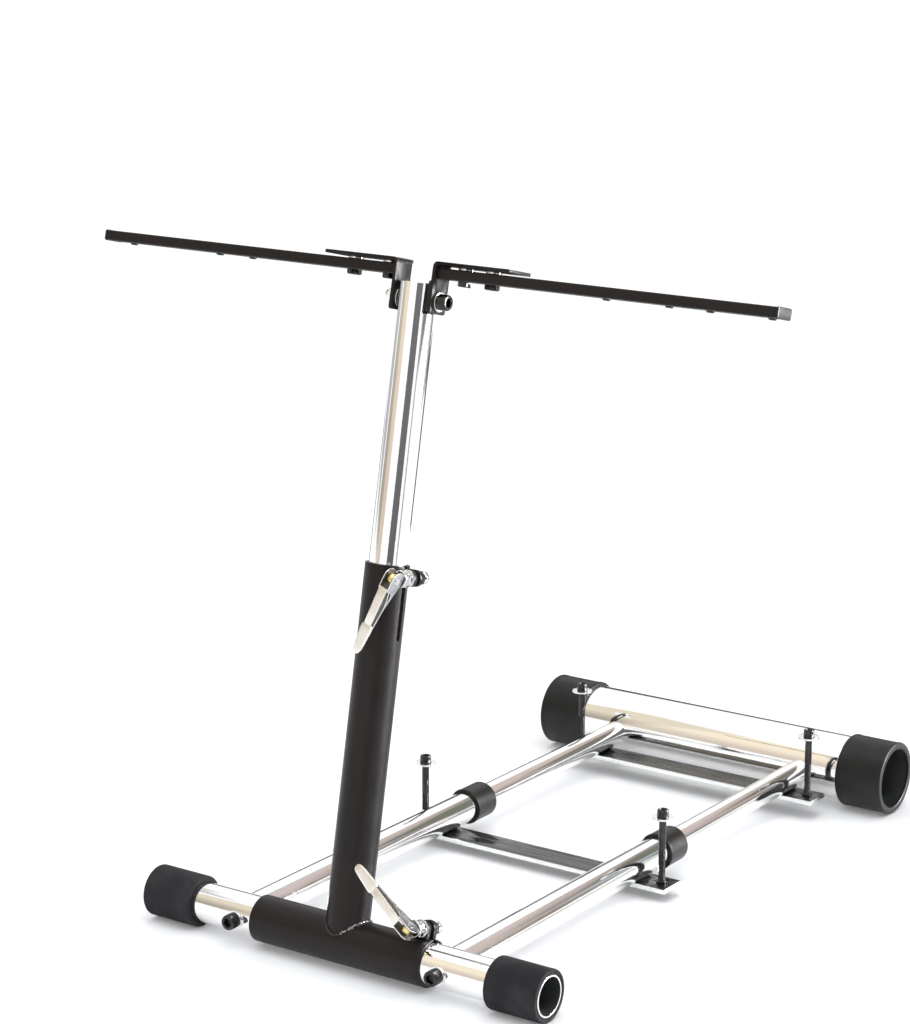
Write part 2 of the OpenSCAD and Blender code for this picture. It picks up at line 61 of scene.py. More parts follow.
# How near two points are made one, and the length of an edge that is taken out, in millimetres
MERGE_REACH = 0.02
SLIVER = 0.005
# Depth of a knurl's grooves in millimetres, and of a thread's as a share of its pitch
KNURL_DEPTH = 0.38
THREAD_SHARE = 0.5
FILLET_STEPS = 4
BOARD_STEPS = 12
# A colour mix has several sockets of one name, so these are the places of its two colours and its result
MIX_FIRST = 6
MIX_SECOND = 7
MIX_RESULT = 2
log = logging.getLogger("stand")

Point2 = tuple[float, float]
Triple = tuple[float, float, float]
Values = dict[str | int, object]
Wire = tuple[bpy.types.Node, str | int, bpy.types.Node, str | int]


# Node groups that several finishes share


class GroupName(Enum):
    """Names of the shared shader node groups."""

    UNEVEN = "uneven_gloss"
    GRAIN = "fine_grain"
    DUST_AND_GLINTS = "settled_dust"
    LINES = "drawn_lines"


class SocketKind(Enum):
    """Kinds of sockets on the shared groups."""

    NUMBER = "NodeSocketFloat"
    COLOUR = "NodeSocketColor"
    VECTOR = "NodeSocketVector"


@dataclass(frozen=True)
class Socket:
    """One input of a shared node group with its usual value, or its output."""

    name: str
    value: float | tuple[float, ...] | None = None
    kind: SocketKind = SocketKind.NUMBER


def new_group(name: GroupName, inputs: Sequence[Socket], output: Socket) -> bpy.types.NodeTree:
    """Starts a shader node group with its sockets and its two end nodes.

    Args:
        name: The group's name.
        inputs: The group's inputs in order.
        output: The group's one output.

    Returns:
        The new node tree, with nodes named start and end.
    """
    tree = bpy.data.node_groups.new(name.value, "ShaderNodeTree")
    for socket in inputs:
        made = tree.interface.new_socket(socket.name, in_out="INPUT", socket_type=socket.kind.value)
        made.default_value = socket.value
    tree.interface.new_socket(output.name, in_out="OUTPUT", socket_type=output.kind.value)
    tree.nodes.new("NodeGroupInput").name = "start"
    tree.nodes.new("NodeGroupOutput").name = "end"
    return tree


def set_inputs(node: bpy.types.Node, values: Values) -> None:
    """Sets some of a node's inputs.

    Args:
        node: The node.
        values: The inputs' values, by name or place.
    """
    for key, value in values.items():
        node.inputs[key].default_value = value


def add_node(
    tree: bpy.types.NodeTree, kind: str, values: Values | None = None, operation: str = "",
) -> bpy.types.Node:
    """Adds a shader node.

    Args:
        tree: The node tree.
        kind: The node's type without its prefix.
        values: Values of its inputs.
        operation: What a node of the mathematical kinds does.

    Returns:
        The new node.
    """
    node = tree.nodes.new("ShaderNode" + kind)
    if operation:
        node.operation = operation
    set_inputs(node, values or {})
    return node


def wire(tree: bpy.types.NodeTree, wires: Sequence[Wire]) -> None:
    """Joins nodes.

    Args:
        tree: The node tree.
        wires: Each wire's first node and its output, and its second node and its input.
    """
    for source, output, target, entry in wires:
        tree.links.new(source.outputs[output], target.inputs[entry])


def add_colour_mix(tree: bpy.types.NodeTree) -> bpy.types.Node:
    """Adds a node that mixes two colours."""
    mix = add_node(tree, "Mix")
    mix.data_type = "RGBA"
    return mix


def new_material(name: str) -> bpy.types.Material:
    """Starts a material with nodes."""
    made = bpy.data.materials.new(name)
    made.use_nodes = True
    return made


def uneven_gloss() -> bpy.types.NodeTree:
    """Builds the group that varies roughness in soft patches.

    Returns:
        The node tree, with a Roughness output.
    """
    inputs = [Socket("Scale", 30.0), Socket("Smooth", 0.2), Socket("Rough", 0.4)]
    tree = new_group(GroupName.UNEVEN, inputs, Socket("Roughness"))
    start, end = tree.nodes["start"], tree.nodes["end"]
    place = add_node(tree, "TexCoord")
    noise = add_node(tree, "TexNoise", {"Detail": 5.0, "Roughness": 0.6})
    spread = add_node(tree, "MapRange", {"From Min": 0.35, "From Max": 0.65})
    wire(tree, [
        (place, "Object", noise, "Vector"),
        (start, "Scale", noise, "Scale"),
        (noise, "Fac", spread, "Value"),
        (start, "Smooth", spread, "To Min"),
        (start, "Rough", spread, "To Max"),
        (spread, "Result", end, "Roughness"),
    ])
    return tree


def fine_grain() -> bpy.types.NodeTree:
    """Builds the group for the small relief of paint, foam, rubber and cast metal.

    Returns:
        The node tree, with a Height output.
    """
    inputs = [Socket("Scale", 900.0), Socket("Cells", 0.5)]
    tree = new_group(GroupName.GRAIN, inputs, Socket("Height"))
    start, end = tree.nodes["start"], tree.nodes["end"]
    place = add_node(tree, "TexCoord")
    noise = add_node(tree, "TexNoise", {"Detail": 3.0})
    cells = add_node(tree, "TexVoronoi")
    cells.feature = "SMOOTH_F1"
    mix = add_node(tree, "Mix")
    for texture in (noise, cells):
        wire(tree, [(place, "Object", texture, "Vector"), (start, "Scale", texture, "Scale")])
    wire(tree, [
        (start, "Cells", mix, "Factor"),
        (noise, "Fac", mix, "A"),
        (cells, "Distance", mix, "B"),
        (mix, "Result", end, "Height"),
    ])
    return tree


def settled_dust() -> bpy.types.NodeTree:
    """Builds the group that lightens a colour in faint patches and specks, which are dust, and on the weld
    painted glints.

    Returns:
        The node tree, with a Color output.
    """
    inputs = [
        Socket("Clean", (0.03, 0.03, 0.03, 1.0), SocketKind.COLOUR),
        Socket("Worn and glint", (0.1, 0.1, 0.1, 1.0), SocketKind.COLOUR),
        Socket("Patches", 12.0),
        Socket("Specks", 700.0),
        Socket("Amount", 0.3),
    ]
    tree = new_group(GroupName.DUST_AND_GLINTS, inputs, Socket("Color", kind=SocketKind.COLOUR))
    start, end = tree.nodes["start"], tree.nodes["end"]
    place = add_node(tree, "TexCoord")
    patches = add_node(tree, "TexNoise", {"Detail": 6.0})
    specks = add_node(tree, "TexNoise", {"Detail": 1.0})
    tight = add_node(tree, "MapRange", {"From Min": 0.62, "From Max": 0.78})
    soft = add_node(tree, "MapRange", {"From Min": 0.45, "From Max": 0.75})
    both = add_node(tree, "Math", operation="MAXIMUM")
    share = add_node(tree, "Math", operation="MULTIPLY")
    mix = add_colour_mix(tree)
    for texture, scale in ((patches, "Patches"), (specks, "Specks")):
        wire(tree, [(place, "Object", texture, "Vector"), (start, scale, texture, "Scale")])
    wire(tree, [
        (specks, "Fac", tight, "Value"),
        (patches, "Fac", soft, "Value"),
        (tight, "Result", both, 0),
        (soft, "Result", both, 1),
        (both, "Value", share, 0),
        (start, "Amount", share, 1),
        (share, "Value", mix, "Factor"),
        (start, "Clean", mix, MIX_FIRST),
        (start, "Worn and glint", mix, MIX_SECOND),
        (mix, MIX_RESULT, end, "Color"),
    ])
    return tree


def drawn_lines() -> bpy.types.NodeTree:
    """Builds the group for lines that run one way, as on drawn tube and ground steel.

    Returns:
        The node tree, with a Height output.
    """
    inputs = [Socket("Stretch", (1.0, 1.0, 1.0), SocketKind.VECTOR), Socket("Scale", 800.0)]
    tree = new_group(GroupName.LINES, inputs, Socket("Height"))
    start, end = tree.nodes["start"], tree.nodes["end"]
    place = add_node(tree, "TexCoord")
    pull = add_node(tree, "VectorMath", operation="MULTIPLY")
    noise = add_node(tree, "TexNoise", {"Detail": 4.0, "Roughness": 0.65})
    wire(tree, [
        (place, "Object", pull, 0),
        (start, "Stretch", pull, 1),
        (pull, "Vector", noise, "Vector"),
        (start, "Scale", noise, "Scale"),
        (noise, "Fac", end, "Height"),
    ])
    return tree


GROUP_MAKERS: dict[GroupName, Callable[[], bpy.types.NodeTree]] = {
    GroupName.UNEVEN: uneven_gloss,
    GroupName.GRAIN: fine_grain,
    GroupName.DUST_AND_GLINTS: settled_dust,
    GroupName.LINES: drawn_lines,
}


# Finishes


class Relief(Enum):
    """What makes the small relief of a surface."""

    GRAIN = GroupName.GRAIN
    LINES = GroupName.LINES


@dataclass(frozen=True)
class Finish:
    """A surface finish, with the name of the material slot that it stands for, which the script does not
    use.
    """

    name: str
    slot: str
    clean: Triple
    worn_and_glint: Triple
    metallic: float
    smooth: float
    rough: float
    dust_and_glints: float = 0.2
    patches: float = 14.0
    specks: float = 700.0
    gloss_scale: float = 40.0
    relief: Relief = Relief.GRAIN
    relief_scale: float = 900.0
    relief_depth: float = 0.00002
    relief_strength: float = 0.2
    cells: float = 0.3
    stretch: Triple = (1.0, 1.0, 1.0)
    coat: float = 0.0
    coat_rough: float = 0.1
    specular: float = 0.5

    def _group(self, tree: bpy.types.NodeTree, name: GroupName, values: Values) -> bpy.types.Node:
        """Places a shared group in the material.

        Args:
            tree: The material's node tree.
            name: Which group.
            values: Values of the group's inputs.

        Returns:
            The group node.
        """
        node = tree.nodes.new("ShaderNodeGroup")
        node.node_tree = bpy.data.node_groups.get(name.value) or GROUP_MAKERS[name]()
        set_inputs(node, values)
        return node

    def material(self) -> bpy.types.Material:
        """Builds the material, or gives the one that was built before.

        Returns:
            The finish's material.
        """
        known = bpy.data.materials.get(self.name)
        if known:
            return known
        made = new_material(self.name)
        made.diffuse_color = (*self.clean, 1.0)
        tree = made.node_tree
        shader = tree.nodes["Principled BSDF"]
        set_inputs(shader, {
            "Metallic": self.metallic,
            "Coat Weight": self.coat,
            "Coat Roughness": self.coat_rough,
            "Specular IOR Level": self.specular,
        })
        colour = self._group(tree, GroupName.DUST_AND_GLINTS, {
            "Clean": (*self.clean, 1.0),
            "Worn and glint": (*self.worn_and_glint, 1.0),
            "Patches": self.patches,
            "Specks": self.specks,
            "Amount": self.dust_and_glints,
        })
        gloss = self._group(tree, GroupName.UNEVEN, {
            "Scale": self.gloss_scale,
            "Smooth": self.smooth,
            "Rough": self.rough,
        })
        if self.relief is Relief.LINES:
            group, shape = GroupName.LINES, {"Stretch": self.stretch}
        else:
            group, shape = GroupName.GRAIN, {"Cells": self.cells}
        height = self._group(tree, group, {"Scale": self.relief_scale, **shape})
        bump = add_node(tree, "Bump", {"Distance": self.relief_depth, "Strength": self.relief_strength})
        wire(tree, [
            (colour, "Color", shader, "Base Color"),
            (gloss, "Roughness", shader, "Roughness"),
            (height, "Height", bump, "Height"),
            (bump, "Normal", shader, "Normal"),
        ])
        return made


CHROME = Finish(
    "chrome_plate", "chrome_tube", (0.95, 0.95, 0.945), (0.84, 0.82, 0.8), 1.0, 0.035, 0.1,
    dust_and_glints=0.3, patches=22.0, specks=260.0, gloss_scale=18.0,
    relief_scale=620.0, relief_depth=0.0001, relief_strength=0.2, cells=0.0,
)
TUBE_INSIDE = Finish(
    "raw_tube_inside", "chrome_tube", (0.06, 0.066, 0.067), (0.11, 0.1, 0.09), 0.8, 0.45, 0.7,
    dust_and_glints=0.6, relief_scale=500.0, relief_depth=0.0002, relief_strength=0.5,
)
POWDER_COAT = Finish(
    "satin_powder_coat", "black_steel", (0.0115, 0.0088, 0.0085), (0.05, 0.042, 0.039), 0.0, 0.3, 0.4,
    dust_and_glints=0.1, patches=9.0, specks=420.0, relief_scale=1100.0, relief_depth=0.00006, relief_strength=0.28,
    cells=0.55, specular=0.2,
)
WELD_COAT = Finish(
    "coated_weld", "black_steel", (0.006, 0.005, 0.0045), (0.09, 0.085, 0.08), 0.0, 0.22, 0.4,
    dust_and_glints=0.2, patches=60.0, specks=330.0, relief_scale=700.0, relief_depth=0.0002, relief_strength=0.5,
    cells=0.7, specular=0.35,
)
# Painted glints: bright metal specks on dark, which the weld gets only on the stretch that faces front
# right.
WELD_PAINTED_GLINTS = Finish(
    "weld_painted_glint_specks", "black_steel", (0.02, 0.019, 0.018), (0.75, 0.74, 0.72), 0.6, 0.15, 0.35,
    dust_and_glints=0.9, patches=420.0, specks=520.0, relief_scale=700.0, relief_depth=0.0003, relief_strength=0.7,
    cells=0.7, specular=0.5,
)
FOAM = Finish(
    "closed_cell_foam", "black_foam", (0.016, 0.015, 0.0175), (0.05, 0.047, 0.053), 0.0, 0.78, 0.95,
    dust_and_glints=0.45, patches=30.0, specks=900.0, relief_scale=1400.0, relief_depth=0.0004, relief_strength=0.55,
    cells=0.85, specular=0.2,
)
RUBBER = Finish(
    "moulded_rubber", "black_rubber", (0.006, 0.006, 0.0065), (0.045, 0.045, 0.045), 0.0, 0.34, 0.5,
    dust_and_glints=0.2, patches=16.0, specks=800.0, relief_scale=1000.0, relief_depth=0.00012, relief_strength=0.3,
    cells=0.5, specular=0.28,
)
PLASTIC = Finish(
    "moulded_plastic", "black_plastic", (0.006, 0.006, 0.006), (0.04, 0.04, 0.04), 0.0, 0.3, 0.42,
    dust_and_glints=0.15, patches=20.0, specks=900.0, relief_scale=1800.0, relief_depth=0.00008, relief_strength=0.3,
    cells=0.6, specular=0.3,
)
BLACK_OXIDE = Finish(
    "black_oxide_steel", "black_oxide", (0.045, 0.044, 0.044), (0.15, 0.148, 0.146), 1.0, 0.14, 0.3,
    dust_and_glints=0.3, patches=90.0, specks=1500.0, relief_scale=1600.0, relief_depth=0.00006, relief_strength=0.3,
)
ZINC = Finish(
    "bright_zinc", "zinc", (0.82, 0.82, 0.8), (0.6, 0.6, 0.57), 1.0, 0.1, 0.24,
    dust_and_glints=0.4, patches=120.0, specks=900.0, relief_depth=0.00003, relief_strength=0.3,
)
BAR_LACQUER = Finish(
    "bar_lacquer", "dark_bar", (0.012, 0.0145, 0.0145), (0.06, 0.066, 0.066), 0.0, 0.16, 0.26,
    dust_and_glints=0.2, patches=12.0, specks=600.0, relief_scale=160.0, relief_depth=0.00006, relief_strength=0.12,
    coat=0.25, coat_rough=0.12, specular=0.5,
)
BAR_EDGE = Finish(
    "bar_cut_edge", "dark_bar", (0.88, 0.89, 0.88), (0.62, 0.63, 0.62), 1.0, 0.22, 0.36,
    dust_and_glints=0.3, patches=60.0, specks=500.0, relief=Relief.LINES, relief_depth=0.00005,
    relief_strength=0.3, stretch=(1.0, 1.0, 0.08),
)
LEVER_FACE = Finish(
    "polished_casting", "bright_fitting", (0.87, 0.845, 0.79), (0.77, 0.74, 0.68), 1.0, 0.2, 0.34,
    dust_and_glints=0.35, patches=160.0, gloss_scale=160.0, relief_depth=0.00006,
    relief_strength=0.3, cells=0.6,
)
# Painted shade: a dark copy of the lever's casting, laid on the thin web in the cheeks' recess where shade
# falls.
LEVER_PAINTED_RECESS_SHADE = Finish(
    "casting_painted_recess_shade", "bright_fitting", (0.07, 0.064, 0.06), (0.16, 0.15, 0.14), 0.6, 0.4, 0.6,
    dust_and_glints=0.3, patches=160.0, relief_depth=0.0002, relief_strength=0.5,
    cells=0.6,
)
# Painted shade: a darker copy of the lever's casting for the faces of the cheeks' disc and ribs, while their
# rims and the strap keep the lighter face colour.
LEVER_PAINTED_SIDE_SHADE = Finish(
    "casting_side_painted_shade", "bright_fitting", (0.44, 0.44, 0.47), (0.3, 0.3, 0.32), 1.0, 0.18, 0.32,
    dust_and_glints=0.4, patches=160.0, gloss_scale=160.0, relief_depth=0.0001,
    relief_strength=0.35, cells=0.6,
)
STEEL = Finish(
    "polished_steel", "bright_fitting", (0.62, 0.62, 0.63), (0.42, 0.42, 0.42), 1.0, 0.06, 0.18,
    dust_and_glints=0.3, patches=120.0, specks=900.0, relief_depth=0.00003, relief_strength=0.25,
)
BRASS = Finish(
    "plain_brass", "brass", (0.8, 0.66, 0.28), (0.5, 0.4, 0.16), 1.0, 0.18, 0.34,
    dust_and_glints=0.45, patches=140.0, specks=800.0, relief_depth=0.00004, relief_strength=0.3,
)


# Outlines and turned sections, in millimetres


class Form(Enum):
    """How the radius of a ring runs round its axis."""

    ROUND = "round"
    HEXAGON = "hexagon"
    SOCKET = "socket"
    KNURL = "knurl"
    THREAD = "thread"


@dataclass(frozen=True)
class Ring:
    """One ring of a turned shape.

    detail is half the width across the flats of a hexagon or socket, the number of ridges of a knurl,
    or the pitch of a thread.
    """

    r: float
    z: float
    form: Form = Form.ROUND
    detail: float = 0.0
    inside: bool = False

    def radius(self, angle: float) -> float:
        """Gives the radius at an angle.

        Args:
            angle: Angle round the axis in radians.

        Returns:
            The radius in millimetres.
        """
        if self.form in (Form.HEXAGON, Form.SOCKET):
            wrapped = (angle + TURN / 12) % (TURN / 6) - TURN / 12
            edge = self.detail / math.cos(wrapped)
            return edge if self.form is Form.SOCKET else min(self.r, edge)
        if self.form is Form.KNURL:
            return self.r - KNURL_DEPTH * abs(math.sin(self.detail * angle / 2))
        if self.form is Form.THREAD:
            phase = (self.z / self.detail - angle / TURN) % 1.0
            return self.r - THREAD_SHARE * self.detail * abs(2 * phase - 1)
        return self.r


def rounded(corners: Sequence[Triple], steps: int = FILLET_STEPS) -> list[Point2]:
    """Rounds the corners of a closed outline.

    Args:
        corners: Each corner's two coordinates and its rounding.
        steps: Pieces in each rounding.

    Returns:
        The outline's points.
    """
    points: list[Point2] = []
    count = len(corners)
    for index, (x, y, size) in enumerate(corners):
        here = Vector((x, y))
        before = Vector(corners[index - 1][:2]) - here
        after = Vector(corners[(index + 1) % count][:2]) - here
        reach = min(size, before.length * 0.49, after.length * 0.49)
        if reach <= 0:
            points.append((x, y))
            continue
        first = here + before.normalized() * reach
        last = here + after.normalized() * reach
        for step in range(steps + 1):
            share = step / steps
            bent = first * (1 - share) ** 2 + here * 2 * share * (1 - share) + last * share ** 2
            points.append((bent.x, bent.y))
    return points


def rectangle(low: Point2, high: Point2, size: float, steps: int = FILLET_STEPS) -> list[Point2]:
    """Gives a rectangle with rounded corners.

    Args:
        low: The corner with the least coordinates.
        high: The corner across from it.
        size: The rounding of the corners.
        steps: Pieces in each rounding.

    Returns:
        The outline's points, anticlockwise.
    """
    (x0, y0), (x1, y1) = low, high
    return rounded([(x0, y0, size), (x1, y0, size), (x1, y1, size), (x0, y1, size)], steps)


def turned(corners: Sequence[Triple], steps: int) -> list[Ring]:
    """Gives the rings of a closed section with rounded corners.

    Args:
        corners: Each corner's radius, place along the axis and rounding.
        steps: Pieces in each rounding.

    Returns:
        The rings of the section.
    """
    return [Ring(r, z) for r, z in rounded(corners, steps)]


def circle(
    x: float, y: float, r: float, start: float = 0.0, span: float = TURN, count: int = 24,
) -> list[Point2]:
    """Gives points on a circle or an arc.

    Args:
        x: Centre's first coordinate.
        y: Centre's second coordinate.
        r: Radius.
        start: First angle in radians.
        span: Angle covered in radians, a full turn for a closed circle.
        count: Number of steps.

    Returns:
        The points, without a repeated last point on a full turn.
    """
    last = count if abs(span) >= TURN else count + 1
    return [(x + r * math.cos(start + span * i / count), y + r * math.sin(start + span * i / count))
            for i in range(last)]


def tube_rings(outer: float, wall: float, low: float, high: float, rim: float = 0.45) -> list[Ring]:
    """Gives the closed section of a tube with rounded rims.

    Args:
        outer: Outer radius.
        wall: Wall thickness.
        low: Start along the axis.
        high: End along the axis.
        rim: Rounding of the rims.

    Returns:
        The rings, the first one on the outside at the start.
    """
    inner = outer - wall
    outline = rounded([(outer, low, rim), (outer, high, rim), (inner, high, rim), (inner, low, rim)], 3)
    middle = inner + wall * 0.2
    return [Ring(r, z, inside=r < middle) for r, z in outline]


def washer_rings(outer: float, inner: float, low: float, thick: float) -> list[Ring]:
    """Gives the closed section of a flat washer."""
    return tube_rings(outer, outer - inner, low, low + thick, 0.3)


def nut_rings(flats: float, bore: float, low: float, thick: float) -> list[Ring]:
    """Gives the closed section of a hexagon nut with chamfered faces.

    Args:
        flats: Width across the flats.
        bore: Radius of the threaded hole.
        low: Start along the axis.
        thick: Thickness of the nut.

    Returns:
        The rings of the nut.
    """
    half = flats / 2
    corner = half / math.cos(TURN / 12) + 0.01
    drop = 0.13 * half
    high = low + thick
    return [
        Ring(half * 0.94, low, Form.HEXAGON, half), Ring(corner, low + drop, Form.HEXAGON, half),
        Ring(corner, high - drop, Form.HEXAGON, half), Ring(half * 0.94, high, Form.HEXAGON, half),
        Ring(bore + 0.5, high), Ring(bore, high - 0.5, inside=True), Ring(bore, low + 0.5, inside=True),
        Ring(bore + 0.5, low),
    ]


def socket_head_rings(d: float, shank: float, ridges: int = 40) -> list[Ring]:
    """Gives the section of a knurled socket-head screw that stands on z = 0.

    Args:
        d: Thread diameter.
        shank: Length of the plain shank below the head.
        ridges: Number of knurl ridges.

    Returns:
        The rings from the shank's end up over the head and down into the socket.
    """
    head = 0.8 * d
    edge = 0.07 * d
    flats = 0.4 * d
    floor = d * 0.45
    knurl_low, knurl_high = 0.16 * d, d - 2.0 * edge
    return [
        Ring(0, -shank), Ring(d / 2 - 0.6, -shank), Ring(d / 2, -shank + 0.6), Ring(d / 2, 0),
        Ring(head - 0.3, 0), Ring(head - 0.1, 0.3), Ring(head - 0.1, knurl_low - 0.25),
        Ring(head, knurl_low, Form.KNURL, ridges), Ring(head, knurl_high, Form.KNURL, ridges),
        Ring(head - 0.25, knurl_high + 0.25), Ring(head - edge * 0.9, d - edge * 0.35),
        Ring(head - edge * 1.5, d), Ring(flats * 1.22, d), Ring(flats * 1.16, d - 0.4),
        Ring(0, d - 0.9, Form.SOCKET, flats), Ring(0, floor + 0.3, Form.SOCKET, flats),
        Ring(flats * 0.8, floor), Ring(0, floor - 0.6),
    ]


def thread_rings(r: float, low: float, high: float, pitch: float) -> list[Ring]:
    """Gives the rings of a threaded length.

    Args:
        r: Outer radius.
        low: Start along the axis.
        high: End along the axis.
        pitch: Distance from one turn to the next.

    Returns:
        The rings, six to a turn.
    """
    count = max(2, round((high - low) / pitch * 6))
    return [Ring(r, low + (high - low) * i / count, Form.THREAD, pitch) for i in range(count + 1)]


# Pieces


def along_x(x: float = 0.0) -> Matrix:
    """Gives the matrix that lays a turned shape's axis along +X, from x."""
    return Matrix.Translation((x, 0, 0)) @ Matrix.Rotation(TURN / 4, 4, "Y")


def along_y(y: float = 0.0) -> Matrix:
    """Gives the matrix that lays a turned shape's axis along +Y, from y."""
    return Matrix.Translation((0, y, 0)) @ Matrix.Rotation(-TURN / 4, 4, "X")


def towards_front(y: float = 0.0) -> Matrix:
    """Gives the matrix that lays a turned shape's axis along -Y, from y."""
    return Matrix.Translation((0, y, 0)) @ Matrix.Rotation(TURN / 4, 4, "X")


def facing_x(x: float) -> Matrix:
    """Gives the matrix that stands a plate up from x, with its outline in Y and Z."""
    stand = Matrix.Rotation(TURN / 4, 4, "Z") @ Matrix.Rotation(TURN / 4, 4, "X")
    return Matrix.Translation((x, 0, 0)) @ stand


def mirrored(side: int) -> Matrix:
    """Gives the matrix that makes the shape of a side out of the right one."""
    return Matrix.Scale(side, 4, (1, 0, 0))


def mesh_data(name: str, bm: bmesh.types.BMesh) -> bpy.types.Mesh:
    """Turns worked geometry into a mesh and frees it."""
    data = bpy.data.meshes.new(name)
    bm.to_mesh(data)
    bm.free()
    return data


def new_object(name: str, data: bpy.types.ID) -> bpy.types.Object:
    """Puts an object with this data into the scene."""
    made = bpy.data.objects.new(name, data)
    bpy.context.scene.collection.objects.link(made)
    return made


class Piece:
    """One visible piece, built in millimetres and placed by matrices."""

    def __init__(self, name: str) -> None:
        """Starts an empty piece with its final name."""
        self.name = name
        self.mesh = bmesh.new()
        self.finishes: list[Finish] = []

    def _index(self, finish: Finish) -> int:
        """Gives the material index of a finish, adding it to the piece if it is new."""
        if finish not in self.finishes:
            self.finishes.append(finish)
        return self.finishes.index(finish)

    def grid(
        self,
        rows: Sequence[Sequence[Vector]],
        finish: Finish,
        close_rows: bool = False,
        close_points: bool = True,
        inside: Callable[[int], Finish] | None = None,
    ) -> list[list[bmesh.types.BMVert]]:
        """Joins rows of points with quads.

        Args:
            rows: Rows with the same number of points each, in millimetres of the part's frame.
            finish: The finish of the faces.
            close_rows: Whether the last row joins the first.
            close_points: Whether each row is a loop.
            inside: Gives a row's finish where it isn't the same all over.

        Returns:
            The vertices in their rows.
        """
        made = [[self.mesh.verts.new(point * MM) for point in row] for row in rows]
        row_steps = len(made) if close_rows else len(made) - 1
        size = len(made[0])
        point_steps = size if close_points else size - 1
        for i in range(row_steps):
            one, two = made[i], made[(i + 1) % len(made)]
            index = self._index(inside(i) if inside else finish)
            for j in range(point_steps):
                k = (j + 1) % size
                face = self.mesh.faces.new((one[j], one[k], two[k], two[j]))
                face.material_index = index
        return made

    def capped(self, rows: Sequence[Sequence[Vector]], finish: Finish) -> None:
        """Joins loops of points with quads and closes both ends at their middles.

        Args:
            rows: Loops with the same number of points each, in millimetres of the part's frame.
            finish: The finish of the faces.
        """
        first, last = ([sum(row, Vector()) / len(row)] * len(row) for row in (rows[0], rows[-1]))
        self.grid([first, *rows, last], finish)

    def spin(
        self,
        rings: Sequence[Ring],
        place: Matrix,
        finish: Finish,
        segments: int = 72,
        closed: bool = True,
        inner: Finish | None = None,
        warp: Callable[[Vector], Vector] | None = None,
    ) -> None:
        """Turns a section round the local Z axis.

        Args:
            rings: The section.
            place: Local frame to the part's frame, in millimetres.
            finish: The finish of the faces.
            segments: Steps round the axis.
            closed: Whether the section is a loop, as in a tube, and not a solid from axis to axis.
            inner: The finish between two rings that are marked as inside.
            warp: Moves each local point before it is placed.
        """
        rows = []
        for ring in rings:
            row = []
            for step in range(segments):
                angle = TURN * step / segments
                r = ring.radius(angle)
                point = Vector((r * math.cos(angle), r * math.sin(angle), ring.z))
                row.append(place @ (warp(point) if warp else point))
            rows.append(row)

        def row_finish(index: int) -> Finish:
            """Gives the finish between a ring and the next."""
            both = rings[index].inside and rings[(index + 1) % len(rings)].inside
            return inner if inner and both else finish

        self.grid(rows, finish, close_rows=closed, inside=row_finish)

    def tube(
        self, outer: float, wall: float, low: float, high: float, place: Matrix, segments: int,
        warp: Callable[[Vector], Vector] | None = None,
    ) -> None:
        """Makes a chrome tube along local Z that is raw inside.

        Args:
            outer: Outer radius.
            wall: Wall thickness.
            low: Start along the axis.
            high: End along the axis.
            place: Local frame to the part's frame, in millimetres.
            segments: Steps round the axis.
            warp: Moves each local point before it is placed.
        """
        rings = tube_rings(outer, wall, low, high)
        self.spin(rings, place, CHROME, segments, inner=TUBE_INSIDE, warp=warp)

    def plate(
        self,
        outline: Sequence[Point2],
        holes: Sequence[Sequence[Point2]],
        thick: float,
        place: Matrix,
        finish: Finish,
        edge: float = 0.35,
        side: Finish | None = None,
    ) -> None:
        """Makes a flat plate with rounded edges and holes, from local z = 0 up.

        Args:
            outline: The outer outline, anticlockwise.
            holes: The outlines of the holes, anticlockwise.
            thick: Thickness.
            place: Local frame to the part's frame, in millimetres.
            finish: The finish of the two faces.
            edge: Rounding of the edges.
            side: The finish of the side walls, the same as the faces' where it is left out.
        """
        depths = [(edge, 0.0), (edge * 0.3, edge * 0.3), (0.0, edge)]
        levels = depths + [(inset, thick - z) for inset, z in reversed(depths)]
        ends: list[list[bmesh.types.BMEdge]] = [[], []]
        for loop, inward in [(outline, 1.0)] + [(hole, -1.0) for hole in holes]:
            normals = outline_normals(loop)
            rows = []
            for inset, z in levels:
                shift = inset * inward
                rows.append([place @ Vector((x - nx * shift, y - ny * shift, z))
                             for (x, y), (nx, ny) in zip(loop, normals)])
            made = self.grid(rows, side or finish)
            for end, row in zip(ends, (made[0], made[-1])):
                end += [self.mesh.edges.get((row[j], row[(j + 1) % len(row)])) for j in range(len(row))]
        index = self._index(finish)
        for end in ends:
            filled = bmesh.ops.triangle_fill(self.mesh, edges=end, use_beauty=True, use_dissolve=False)
            for item in filled["geom"]:
                if isinstance(item, bmesh.types.BMFace):
                    item.material_index = index

    def set_down(self, body: str, *nodes: str) -> bpy.types.Object:
        """Finishes the piece and puts it into the scene.

        Args:
            body: The CAD body that it rides on.
            nodes: The CAD nodes that it stands for.

        Returns:
            The new object.
        """
        bmesh.ops.remove_doubles(self.mesh, verts=self.mesh.verts, dist=MERGE_REACH * MM)
        bmesh.ops.dissolve_degenerate(self.mesh, edges=self.mesh.edges, dist=SLIVER * MM)
        bmesh.ops.recalc_face_normals(self.mesh, faces=self.mesh.faces)
        for face in self.mesh.faces:
            face.smooth = True
        for line in self.mesh.edges:
            if len(line.link_faces) == 2 and line.calc_face_angle(0.0) > SHARP_ANGLE:
                line.smooth = False
        data = mesh_data(self.name, self.mesh)
        for finish in self.finishes:
            data.materials.append(finish.material())
        made = new_object(self.name, data)
        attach(made, body)
        if nodes:
            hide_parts(*nodes)
        log.info("%s: %d faces on %s", self.name, len(data.polygons), body)
        return made


